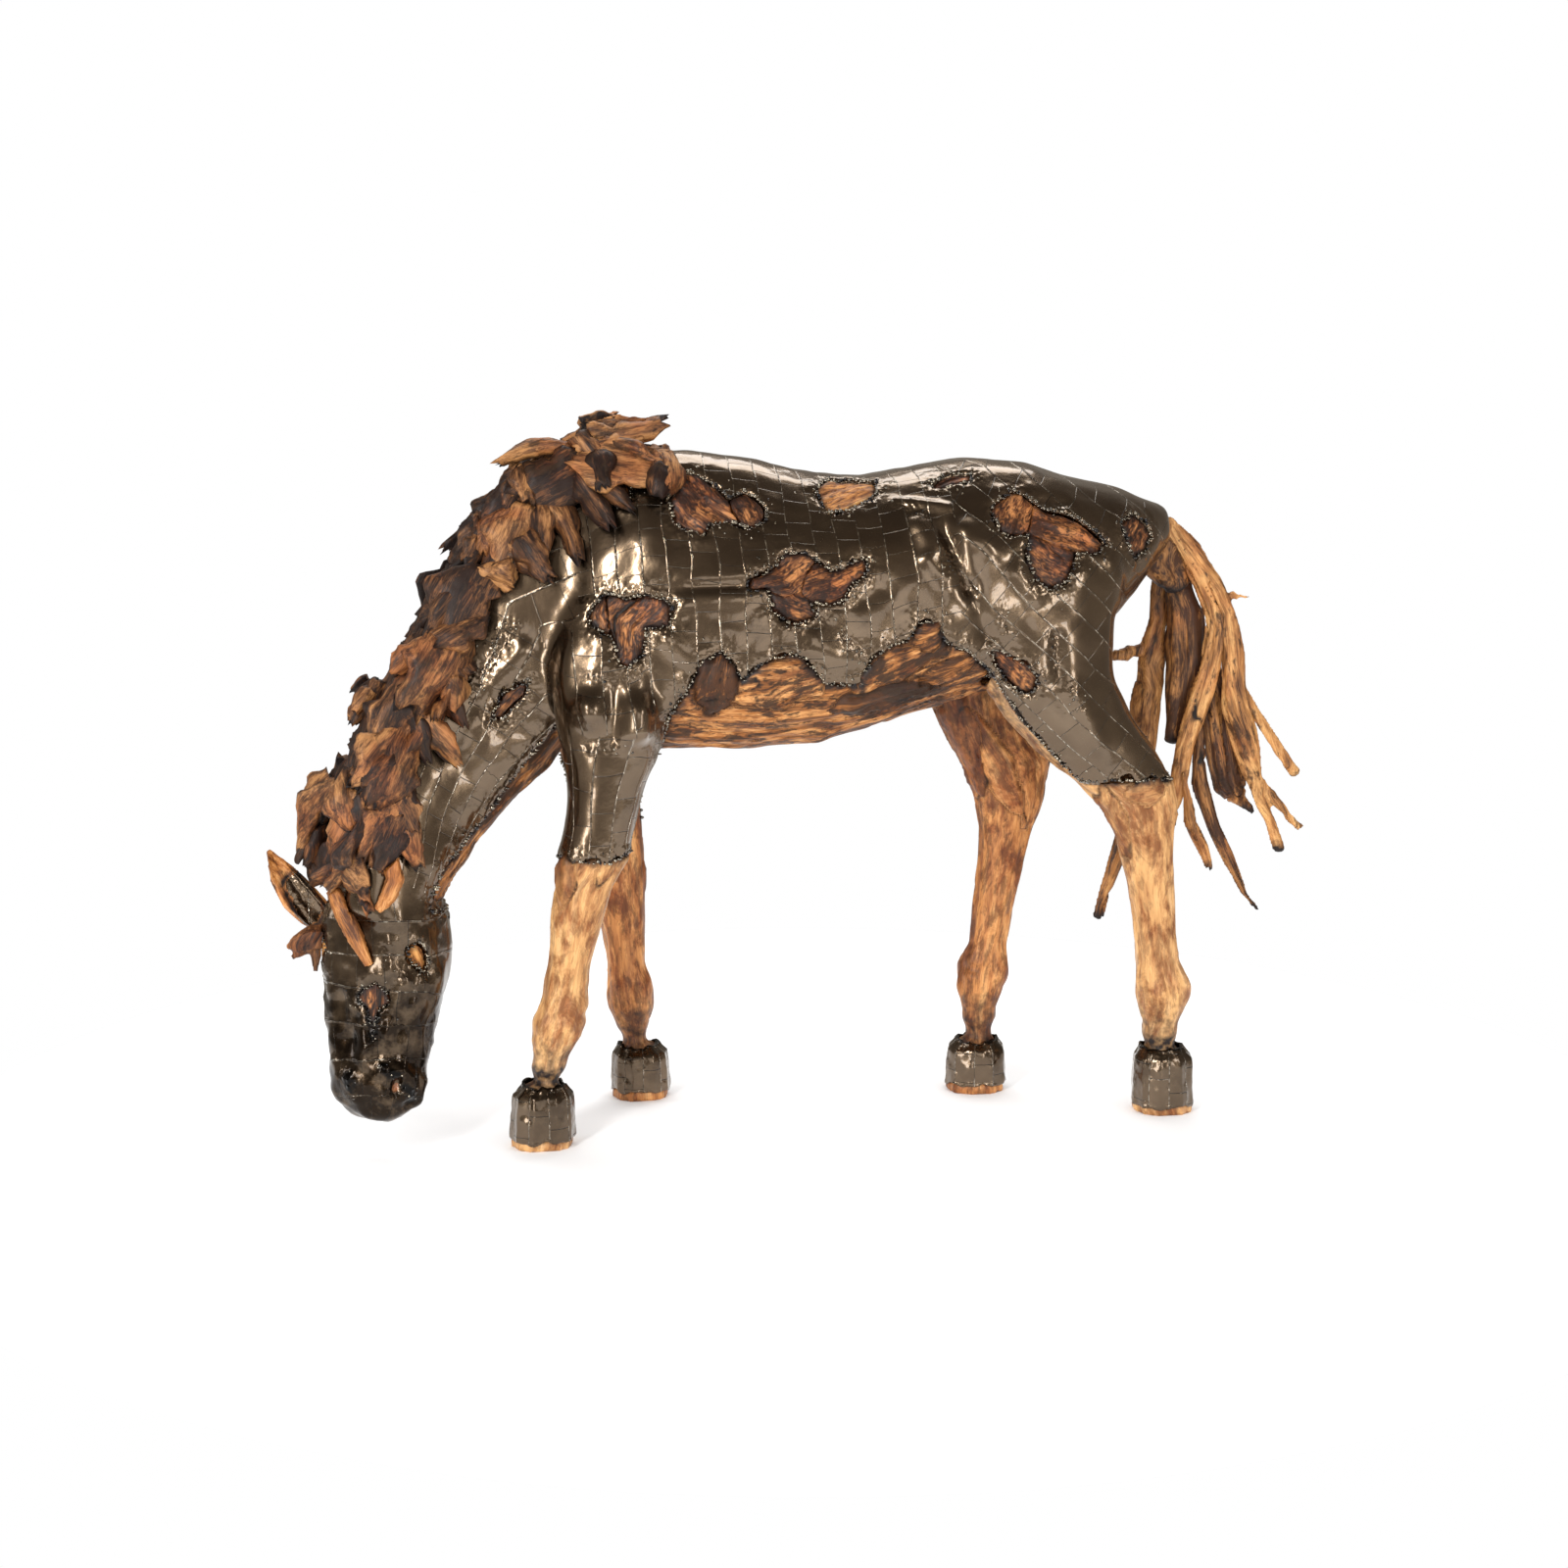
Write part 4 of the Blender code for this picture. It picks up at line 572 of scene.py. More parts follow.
# Laid over the plate: the cut, the stitches of weld with their painted highlight, black soot, mottled
# darkening that is partly soot and partly painted shade, and wood in a nostril
for factor, code, way in ((in_cut, "2c2823", "MIX"), (weld_and_glint, "c9bfae", "MIX"), (black_soot_and_shade, "25221f", "MIX"),
                          (mottled_soot_and_shade, "5f574e", "MULTIPLY"), (nostril, "84502c", "MIX")):
    colour = mix_colours(tree, factor, colour, linear(code), way)
# Relief in millimetres: weld bead, cut, the plates' own tilt, blobs of weld by the openings, ripple
relief = calc(tree, "MULTIPLY", bead, bead_step)
slopes = []
for tone, way in zip(tones, (across, along)):
    lean = calc(tree, "SUBTRACT", tone, 0.5)
    slopes.append(calc(tree, "MULTIPLY", lean, way))
blobs = add(tree, "TexVoronoi", {"Vector": place, "Scale": 95.0}, feature="SMOOTH_F1")
blobs = calc(tree, "MULTIPLY", blobs, weld)
for part, high in ((in_cut, -0.5), (slopes[0], 3.2), (slopes[1], 3.2), (blobs, -6.0), (ripple, 1.1)):
    relief = calc(tree, "MULTIPLY_ADD", part, high, relief)
bump = add(tree, "Bump", {"Height": relief, "Strength": 0.8, "Distance": 0.001})
gloss = calc(tree, "MULTIPLY_ADD", tones[1], 0.05, 0.20)
add(tree, shader, {
    "Base Color": colour,
    "Metallic": calc(tree, "SUBTRACT", 1.0, nostril),
    "Roughness": calc(tree, "MULTIPLY_ADD", speck, 0.04, gloss),
    "Coat Weight": calc(tree, "MULTIPLY_ADD", soot_and_shade_amount, -0.35, 0.6),
    "Coat Roughness": 0.06, "Normal": bump, "Coat Normal": bump})

# The open nostril in centimetres, as a run with its reach
NOSTRIL = ((-89.4, -25, 17), (-89.2, -25, 17.8), 0.8)
# How close together places along a rim are taken, in metres, and how many rounds fair the body
RIM_STEP = 0.004
BODY_ROUNDS = 36
rims = rims_of_plate()
rim_points = [p for run in rims for p in spread_along(run, RIM_STEP)]
points, faces = skin_of("armour", PLATE_NET)
rim_distance = distance_to(rim_points, points)
# Faired in the open, and left as cut for a centimetre beside each rim
points = fair(points, edges_of(faces), BODY_ROUNDS, unit((rim_distance[:, None] - 0.010) / 0.03))
layout_uv = plate_layout(points, faces)
# Each plate is a little domed
corner_strip = np.floor(layout_uv[..., 0])
dome = (np.sin(np.pi * (layout_uv[..., 0] % 1))
        * np.sin(np.pi * ((layout_uv[..., 1] + corner_strip * STAGGER) % 1)))
meeting = np.maximum(np.bincount(faces.ravel(), minlength=len(points)), 1)
lifted = np.bincount(faces.ravel(), dome.ravel(), len(points)) / meeting
normals = normals_of(points, faces)
# The torch burns and crumples the plate beside a rim and where it was worked hard
torch = np.exp(-rim_distance / 0.015)
crumple = np.exp(-(rim_distance / 0.030) ** 1.5)
spattered = nearness((points - SHIFT) * 100, SPATTERED)
torch = np.maximum(torch, 0.72 * spattered)
crumple = np.maximum(crumple, 0.8 * spattered)
# The face was worked with a finer torch: less soot and less bend round the blaze and the eye
face_rim = bell(points + (0.955, 0.25, -0.44), (0.05, 0.09, 0.13)).prod(axis=1)
torch *= 1 - 0.55 * face_rim
crumple *= 1 - 0.5 * face_rim


def at_head(front, top, fade):
    """1 on the head in front of a place and below a height in metres, fading to nought."""
    return unit((front - points[:, 0]) / 0.05) * unit((top - points[:, 2]) / fade)


crumple = np.maximum(crumple, 0.36 * at_head(-0.80, 0.46, 0.10))
# The head is darkened all over, most of all low down: soot on the muzzle, and painted shade for the head's
# darker reflections
on_head = 0.45 * at_head(-0.78, 0.62, 0.08) + 0.55 * at_head(-0.78, 0.44, 0.10)
head_only = at_head(-0.80, 0.58, 0.05)
push = sink_and_swell(points) + lifted * 0.0009
push += head_only * 0.0030 * grain(points * 26, 25, 2)
push *= np.clip(rim_distance / 0.02, 0.15, 1.0)
push += crumple * (0.0036 * grain(points * 44, 21, 2) + 0.0010 * grain(points * 110, 22) + 0.0022)
in_nostril = nearness((points - SHIFT) * 100, [NOSTRIL])
drop = ragged_hems(points)
points += normals * push[:, None]
points[:, 2] += drop
body = piece_from("plated_body", points, faces.tolist(), plate_steel,
                  {"weld": torch, "soot_and_shade": on_head, "bare": in_nostril}, layout_uv)
set_in_statue(body, "blackened_steel", "armour")
plate_points, plate_faces = points, faces

# Weld: where a plate ends at bare wood it is welded on in a thick uneven bead, with spatter and
# small burnt blobs of steel round about. Left shiny and lacquered over.


def geometry_group(name, **numbers):
    """A Geometry Nodes tree with one geometry and some numbers coming in, and what comes in."""
    group = bpy.data.node_groups.new(name, "GeometryNodeTree")
    group.interface.new_socket("Geometry", in_out="OUTPUT", socket_type="NodeSocketGeometry")
    group.interface.new_socket("Geometry", in_out="INPUT", socket_type="NodeSocketGeometry")
    for label, kind in numbers.items():
        group.interface.new_socket(label, in_out="INPUT", socket_type="NodeSocket" + kind)
    return group, group.nodes.new("NodeGroupInput").outputs


def apply_group(name, source, group, **values):
    """Runs a Geometry Nodes tree over an object and keeps the plain mesh that comes out."""
    modifier = source.modifiers.new(name, "NODES")
    modifier.node_group = group
    for item in group.interface.items_tree:
        if item.in_out == "INPUT" and item.name in values:
            modifier[item.identifier] = values[item.name]
    graph = bpy.context.evaluated_depsgraph_get()
    mesh = bpy.data.meshes.new_from_object(source.evaluated_get(graph))
    mesh.name = name
    bpy.data.objects.remove(source)
    mesh.shade_smooth()
    return put_in_scene(bpy.data.objects.new(name, mesh))


def blobs_on(group, points, radius, seed, low, high, flat, roundness, **turned):
    """The last nodes of a tree of weld blobs: instances of one faceted blob, made real."""
    blob = add(group, "GeometryNodeMeshIcoSphere", {"Radius": radius, "Subdivisions": roundness})
    size = add(group, "FunctionNodeRandomValue", {0: (low, low, low * flat), 1: (high, high, high * flat),
                                                  "Seed": seed}, data_type="FLOAT_VECTOR")
    placed = add(group, "GeometryNodeInstanceOnPoints", {"Points": points, "Instance": blob, "Scale": size,
                                                         **turned})
    real = add(group, "GeometryNodeRealizeInstances", {"Geometry": placed})
    painted = add(group, "GeometryNodeSetMaterial", {"Geometry": real, "Material": weld_steel})
    add(group, "NodeGroupOutput", {0: painted})


# Weld metal: brighter and smoother than the plate, blued in places
weld_steel, tree, shader = new_material("lacquered_weld_metal")
place = add(tree, "TexCoord").outputs["Object"]
heat = add(tree, "TexNoise", {"Vector": place, "Scale": 38.0, "Detail": 3.0})
add(tree, shader, {
    "Base Color": add(tree, "ValToRGB", {0: heat}, ((0.39, "2b2a2d"), (0.60, "aaa08e"))),
    "Roughness": add(tree, "MapRange", {"Value": heat, "To Min": 0.30, "To Max": 0.14}),
    "Metallic": 1.0, "Coat Weight": 0.6, "Coat Roughness": 0.05})


def curve_of(name, runs):
    """A curve through runs of points along the rims, with the drop of a torn hem."""
    curve = bpy.data.curves.new(name, "CURVE")
    curve.dimensions = "3D"
    for run in runs:
        spline = curve.splines.new("POLY")
        spline.points.add(len(run) - 1)
        for spot, place_on_rim in zip(spline.points, run):
            drop = ragged_hems(np.array([place_on_rim]))[0]
            spot.co = (place_on_rim[0], place_on_rim[1], place_on_rim[2] + drop, 1)
    return put_in_scene(bpy.data.objects.new(name, curve))


def weld_of(run):
    """Which rod a run was welded with: the face has finer ones, so that eyes and blaze stay open."""
    if run[0].x > -0.80 or run[0].z > 0.58:
        return "weld_beads"
    return "eye_weld_beads" if run[0].z > 0.47 else "blaze_weld_beads"


bead_group, given = geometry_group("weld_bead", Spacing="Float", Radius="Float", Wander="Float", Seed="Int")
stepped = add(bead_group, "GeometryNodeResampleCurve",
              {"Curve": given["Geometry"], "Length": given["Spacing"]}, mode="LENGTH")
shake = add(bead_group, "FunctionNodeRandomValue", {0: (-1, -1, -1), "Seed": given["Seed"]},
            data_type="FLOAT_VECTOR")
shaken = add(bead_group, "VectorMath", {0: shake, "Scale": given["Wander"]}, operation="SCALE")
strung = add(bead_group, "GeometryNodeSetPosition", {"Geometry": stepped, "Offset": shaken})
blobs_on(bead_group, strung, given["Radius"], given["Seed"], low=0.55, high=1.5, flat=0.8, roundness=2)
for name, spacing, radius in (("weld_beads", 0.0082, 0.0042), ("eye_weld_beads", 0.0060, 0.0036),
                              ("blaze_weld_beads", 0.0070, 0.0022)):
    path = curve_of(name + "_path", [run for run in rims if weld_of(run) == name])
    beads = apply_group(name, path, bead_group, Spacing=spacing, Radius=radius, Wander=radius * 0.8, Seed=4)
    set_in_statue(beads, "blackened_steel")

spatter_group, given = geometry_group("weld_spatter", Density="Float", Radius="Float", Seed="Int")
near_weld = add(spatter_group, "GeometryNodeInputNamedAttribute", {"Name": "weld"}, data_type="FLOAT")
dense = calc(spatter_group, "POWER", near_weld, 1.3)
crowd = calc(spatter_group, "MULTIPLY", dense, given["Density"])
thrown = add(spatter_group, "GeometryNodeDistributePointsOnFaces",
             {"Mesh": given["Geometry"], "Density": crowd, "Seed": given["Seed"]})
blobs_on(spatter_group, thrown, given["Radius"], given["Seed"], low=0.4, high=1.6, flat=0.6, roundness=1,
         Rotation=thrown.outputs["Rotation"])
spatter_source = put_in_scene(bpy.data.objects.new("spatter_source", body.data.copy()))
spatter = apply_group("weld_spatter", spatter_source, spatter_group, Density=4400.0, Radius=0.0029, Seed=9)
set_in_statue(spatter, "blackened_steel")

# Burl set in the openings: thick offcuts of old root and knot, each cut to its opening, its face
# adzed rough and torched black round the edge, then oiled.


def grown(points, across=(0, 0), stride=0.05):
    """Points as the tree grew them: two distances from the heart, and the distance along it."""
    middle = points.mean(0)
    axes = np.linalg.eigh(np.cov((points - middle).T))[1][:, ::-1]
    local = (points - middle) @ axes
    steps = np.linspace(local[:, 0].min(), local[:, 0].max(), max(4, int(np.ptp(local[:, 0]) / stride)))
    slot = np.clip(np.digitize(local[:, 0], steps) - 1, 0, len(steps) - 2)
    for axis in (1, 2):
        count = np.maximum(np.bincount(slot, minlength=len(steps) - 1), 1)
        heart = np.bincount(slot, local[:, axis], len(steps) - 1) / count
        local[:, axis] -= np.interp(local[:, 0], (steps[1:] + steps[:-1]) / 2, heart)
    return local[:, [1, 2, 0]] + np.array((*across, 0.0))


def stretched(grown_points, across, along):
    """Places in the wood measured in figures that are so broad and so long, in metres."""
    return grown_points / np.array((across, across, along))


def carve(points, faces, wood, seed, lump, flute, crack):
    """Weathered relief on a piece: lumps, flutes along the grain, and open cracks, in metres.
    Gives the new points and how deep in a crack each one lies."""
    normals = normals_of(points, faces)
    push = lump * grain(stretched(wood, 0.045, 0.10), seed, 2)
    push += flute * grain(stretched(wood, 0.012, 0.13), seed + 1, 2)
    line = grain(stretched(wood, 0.021, 0.26), seed + 2)
    where = unit(grain(stretched(wood, 0.07, 0.22), seed + 3) * 3 + 0.6)
    open_crack = bell(line, 0.06) * where
    push -= crack * open_crack
    return points + normals * push[:, None], open_crack * min(1.0, crack / 0.005)


def wood_material(name, pale, middle, dark, figure, stain, gloss, streak=1.0, flecks=0.8, redness=0.0):
    """Old wood, oiled, from three tones: figure is how swirled its grain is, stain how much of it
    is smoked dark, gloss its roughness, streak and flecks how strong they are, redness its red."""
    material, tree, shader = new_material(name)
    place = add(tree, "TexCoord").outputs["Object"]
    wood = add(tree, "Attribute", attribute_name="wood").outputs["Vector"]
    tint, scorch, split = [add(tree, "Attribute", attribute_name=label).outputs["Fac"]
                           for label in ("tint", "scorch", "split")]
    # Noises along the grain: its squeeze, waves to a metre, detail, roughness and swirl. They are
    # the bends round knots, growth rings cut at a slant, fibres about twice as coarse as real
    # ones, flecks strung along the grain, and clouds of smoke and old oil
    bend, rings, fibre, fleck, cloud = [
        add(tree, "TexNoise", {"Vector": add(tree, "Mapping", {"Vector": wood, "Scale": (1, 1, squeeze)}),
                               "Scale": waves, "Detail": detail, "Roughness": rough, "Distortion": swirl})
        for squeeze, waves, detail, rough, swirl in (
            (0.10 + 0.25 * figure, 26, 3, 0.5, 0.6 + 2.2 * figure),
            (0.10 + 0.25 * figure, 75, 4, 0.6, 0.4 + 2 * figure), (0.035, 520, 2, 0.5, 0),
            (0.22 + 0.4 * figure, 85, 5, 0.7, 0.3 + figure), (0.45, 17, 6, 0.68, 0.5))]
    patch, rough_edge = [add(tree, "TexNoise", {"Vector": place, "Scale": waves, "Detail": detail})
                         for waves, detail in ((9, 3), (60, 4))]
    # Each figure's share of the tone; together they centre on a half
    mixed = 0.5 - (2.6 * streak + 1.1) / 2
    for part, share in ((tint, 0.5), (rings, 1.7 * streak), (bend, 1.1), (fibre, 0.9 * streak)):
        mixed = calc(tree, "MULTIPLY_ADD", part, share, mixed)
    colour = add(tree, "ValToRGB", {0: mixed}, ((0.20, dark), (0.50, middle), (0.80, pale)))
    # Laid over it: red patches, smoke, flecks where the torch caught the soft wood, char together with the
    # painted shade under the mane's splits, and the black inside a crack together with painted shade in the
    # seams round let-in timbers. Each has where it begins, where it is full, how strong it gets, its tone
    caught = calc(tree, "MULTIPLY_ADD", cloud, 0.7, fleck)
    charring_and_shade = calc(tree, "MULTIPLY_ADD", rough_edge, 0.9, scorch)
    for part, begins, full, most, code, way in (
            (patch, 0.48, 0.62, redness, "e0a06c", "MULTIPLY"),
            (cloud, 0.62 - stain, 0.78 - stain, 0.82, "86603f" if flecks > 0.5 else "a06c3c", "MULTIPLY"),
            (caught, 1.01 - stain, 1.10 - stain, flecks, "33200f" if figure < 0.3 else "26170f", "MIX"),
            (charring_and_shade, 0.62, 1.15, 1.0, "1f1512", "MIX"), (split, 0.35, 0.9, 1.0, "1c110b", "MIX")):
        here = add(tree, "MapRange", {"Value": part, "From Min": begins, "From Max": full, "To Max": most})
        colour = mix_colours(tree, here, colour, linear(code), way)
    relief = calc(tree, "MULTIPLY_ADD", rings, 1.6, fibre)
    add(tree, shader, {
        "Base Color": colour,
        "Roughness": add(tree, "MapRange", {"Value": fibre, "To Min": gloss - 0.1, "To Max": gloss + 0.2}),
        "Normal": add(tree, "Bump", {"Height": relief, "Strength": 0.7, "Distance": 0.0015}),
        "Specular IOR Level": 0.3, "Coat Weight": 0.08, "Coat Roughness": 0.3})
    return material


burl = wood_material("torched_burl", "b97a44", "673b1e", "1f110a", figure=0.8, stain=0.18, gloss=0.40,
                     streak=0.9, redness=0.4)
eye_burl = wood_material("oiled_eye_burl", "d9a35f", "b97a3e", "6b3d1c", figure=0.5, stain=0.05, gloss=0.55,
                         streak=0.8)
BURLS = [name for name in UNDER_PLATE if not name.endswith(("belly_wood", "throat_wood", "leg_wood"))]


def lay_timbers(points, normals, wood, timbers):
    """Separate lengths of timber let into the near face of a piece, each with its own grain. A timber
    is its middle x and z, half length and half height in metres, turn in degrees, how far it stands
    out in metres, tone and charring. Gives points, grain, tone, charring and the seams round them."""
    tone, charred, seam = np.zeros(len(points)), np.zeros(len(points)), np.zeros(len(points))
    facing = unit(-normals[:, 1] * 4)
    lift = np.zeros(len(points))
    wood = wood.copy()
    for number, (x, z, half_long, half_high, turn, proud, own_tone, own_char) in enumerate(timbers):
        c, s = math.cos(math.radians(turn)), math.sin(math.radians(turn))
        dx, dz = points[:, 0] - x, points[:, 2] - z
        u, v = dx * c + dz * s, dz * c - dx * s
        wavy = 1 + 0.22 * grain(points * 22, 500 + number, 2)
        out = (np.abs(u / half_long) ** 1.5 + np.abs(v / half_high) ** 1.5) ** (1 / 1.5) * wavy
        inside = (out < 1) & (facing > 0.2)
        grown_here = np.stack([v * (1 + 0.5 * u / half_long), points[:, 1], u], axis=1)
        grown_here += (0.03 * number, 0.02, number)
        wood[inside] = grown_here[inside]
        tone[inside], charred[inside] = own_tone, own_char
        width = min(half_long, half_high)
        gap = 0.55 + 0.45 * grain(points * 30, 540 + number)
        # A dark seam round each timber: painted shade in the gap, over a shallow groove
        seam = np.maximum(seam, facing * gap * bell((out - 1) * width, 0.0032))
        lift = np.where(inside, facing * proud * unit((1 - out) * 4), lift)
    return points + normals * (lift - 0.004 * seam)[:, None], wood, tone, charred, seam


def wooden_piece(name, node, material, slot, net, seed, lump, flute, crack, scorched, across, rounds=8,
                 stride=0.05, shape=None, timbers=(), tone=None):
    """A carved wooden piece in the place of its CAD node: the size of its net, relief in metres, how
    it is scorched, where its heart lies, how far it is faired, and how long its straight runs are.
    shape gives new points for points, normals and grain."""
    points, faces = skin_of(node, net)
    wood = grown(points, across, stride)
    if shape:
        points = shape(points, normals_of(points, faces), wood)
    settled = fair(points, edges_of(faces), rounds)
    settled, wood, own_tone, charred, seam_shade = lay_timbers(settled, normals_of(settled, faces), wood, timbers)
    moved, opened = carve(settled, faces, wood, seed, lump, flute, crack)
    # Cracks, and the painted shade of the seams round the timbers, darken alike
    opened = np.maximum(opened, seam_shade)
    if node in BURLS and node != "face_blaze":
        # The torch has eaten the edges back from the plate
        beside = bell(distance_to(rim_points, points), 0.007)
        moved -= normals_of(points, faces) * (0.005 * beside)[:, None]
    moved[:, 2] = np.where(points[:, 2] < 0.004, points[:, 2], np.maximum(moved[:, 2], 0.0))
    if tone is None:
        tone = random.Random(seed).uniform(-0.2, 0.2)
    made = piece_from(name, moved, faces.tolist(), material,
                      {"wood": wood, "tint": tone + own_tone, "split": opened,
                       "scorch": np.maximum(scorched(moved), charred)})
    set_in_statue(made, slot, node)
    return made


# How far in from the plate wood is scorched, in metres, and the burls that are scorched less
USUAL_SCORCH = 0.012
SCORCH_REACH = {"near_eye": 0.008, "far_eye": 0.008, "face_blaze": 0.006}
# Burls whose tone isn't left to chance
BURL_TONES = {"face_blaze": -0.15, "rump_left": 0.42, "rump_right": 0.50, "rump_lower": 0.05,
              "thigh_front": 0.30, "withers_burl": 0.15}


def torched_edge(reach=USUAL_SCORCH):
    """How scorched a point is, by its distance from the rim of the plate."""
    return lambda points: np.exp(-distance_to(rim_points, points) / reach)


def stood_out(points, normals, wood):
    """The blaze fills its narrow opening to the brim."""
    return points + normals * (1, 1, 0.3) * 0.004


for number, node in enumerate(BURLS):
    cut_from = eye_burl if node.endswith("_eye") or node == "back_block" else burl
    wooden_piece(node + "_carved", node, cut_from, "burl_wood", net=0.0045, seed=100 + number, lump=0.0048,
                 flute=0.0026, crack=0.005, scorched=torched_edge(SCORCH_REACH.get(node, USUAL_SCORCH)),
                 across=(0.03, 0.02), rounds=3, shape=stood_out if node == "face_blaze" else None,
                 tone=BURL_TONES.get(node))

# Belly and throat: weathered timbers laid lengthwise and shaped to the barrel, coarse open fibre,
# smoked and oiled a honey colour, blackened where the plate was welded over them.

honey = wood_material("smoked_honey_timber", "d89c5f", "a2652f", "48280f", figure=0.14, stain=0.182,
                      gloss=0.5, streak=0.9, flecks=0.9)
BELLY_TIMBERS = (
    (-0.10, 1.035, 0.15, 0.055, 14, 0.008, 0.25, 0.0), (0.16, 1.075, 0.13, 0.040, 24, 0.009, 0.0, 0.0),
    (0.15, 1.005, 0.13, 0.030, 13, 0.011, -0.9, 0.16), (0.225, 1.138, 0.045, 0.036, 20, 0.012, -0.1, 0.1),
    (-0.235, 1.045, 0.068, 0.052, 78, 0.014, -0.9, 0.16), (0.29, 1.06, 0.075, 0.026, 22, 0.008, -0.4, 0.1),
)
wooden_piece("belly_carved", "belly_wood", honey, "honey_wood", net=0.0070, seed=31, lump=0.0050,
             flute=0.0045, crack=0.006, scorched=torched_edge(), across=(0.05, 0), stride=0.4,
             timbers=BELLY_TIMBERS, tone=0.0)
wooden_piece("throat_carved", "throat_wood", honey, "honey_wood", net=0.0056, seed=37, lump=0.0040,
             flute=0.0045, crack=0.007, scorched=torched_edge(), across=(0.04, 0))

# Legs: one trunk or branch each, shaped down to the fetlock and pastern and left with its cracks
# and knots, standing in a steel cup with its sole of wood bare below it.

leg_wood = wood_material("oiled_leg_timber", "ecbf8b", "daa76c", "b07a48", figure=0.06, stain=0.185,
                         gloss=0.40, streak=0.4, flecks=0.34)
# The far legs take a darker copy of the same timber: painted shade for the legs on the far side of the horse
far_leg_shaded_wood = wood_material("oiled_leg_timber_painted_shade", "e0a86b", "c4844a", "8c532b", figure=0.06, stain=0.185,
                             gloss=0.40, streak=0.55, flecks=0.50)
LEG_TIMBERS = {
    "near_fore_leg_wood": ((-0.562, 0.612, 0.060, 0.022, 84, 0.009, -0.9, 0.16),
                           (-0.475, 0.640, 0.050, 0.020, 70, 0.006, -0.3, 0.05)),
    "near_hind_leg_wood": ((0.752, 0.770, 0.050, 0.034, 8, 0.008, -0.5, 0.12),
                           (0.690, 0.700, 0.095, 0.026, 112, 0.005, -0.5, 0.1)),
    "far_hind_leg_wood": ((0.475, 0.800, 0.150, 0.040, 118, 0.009, 0.1, 0.0),
                          (0.400, 0.860, 0.150, 0.042, 105, 0.008, -0.6, 0.08)),
    "far_fore_leg_wood": ((-0.330, 0.560, 0.100, 0.022, 88, 0.004, -0.6, 0.05),),
}


# Heights on a leg in metres: the bare sole, the cup's end, the fetlock and where the smoke on it
# ends, and where the plate of the hind legs is near
SOLE = 0.03
CUP_ENDS = 0.172
FETLOCK = 0.29
SMOKE_ENDS = 0.285
PLATE_NEAR = 0.74


def smoked_low(black):
    """Legs are scorched by the plate above, smoky at the pastern and black where the cup begins."""
    def scorched(points):
        height = points[:, 2]
        low = unit((SMOKE_ENDS - height) / 0.07) * 0.40
        at_cup = bell(np.maximum(height - CUP_ENDS, 0), 0.030) * black
        under_plate = unit((height - PLATE_NEAR) / 0.10) * black * 0.62
        mottled_soot_and_shade = np.maximum(np.maximum(low, at_cup) * (height > SOLE), under_plate)
        return np.maximum(mottled_soot_and_shade, torched_edge()(points))
    return scorched


def shaped_leg(points, normals, wood):
    """Trimmed a little where the cup goes round it, with angular knobs left at the fetlock."""
    height = points[:, 2]
    inside = unit((CUP_ENDS + 0.004 - height) / 0.024)
    inside *= unit((height - SOLE + 0.008) / 0.01)
    fetlock = bell(height - FETLOCK, 0.045)
    knobs = np.abs(grain(points * 19 + 3.7, 611)) * 2 - 0.35
    return points + normals * (1, 1, 0.4) * (0.008 * knobs * fetlock - 0.0105 * inside)[:, None]


for number, (node, timber, black) in enumerate((
        ("near_fore_leg_wood", leg_wood, 0.62), ("near_hind_leg_wood", leg_wood, 0.62),
        ("far_fore_leg_wood", far_leg_shaded_wood, 0.48), ("far_hind_leg_wood", far_leg_shaded_wood, 0.48))):
    wooden_piece(node.replace("_wood", "_carved"), node, timber, "honey_wood", net=0.0060,
                 seed=51 + 5 * number, lump=0.0034, flute=0.0010, crack=0.0022, scorched=smoked_low(black),
                 across=(0.01, 0), rounds=5, shape=shaped_leg, timbers=LEG_TIMBERS[node], tone=0.0)

# Hoof cups: nine small plates bent round each hoof and welded together, drawn in at the top, with
# a ragged bead where they were welded to each other above the pastern.

# Net of a cup and how far its top is drawn in, in metres; the number of its plates, and how far
# they are turned against those of the cup before, in plates
CUP_GRID = 0.0055
CUP_DRAWN_IN = 0.006
CUP_PLATES = 9
CUP_TURN = 0.37
CUP_CUTS = 6


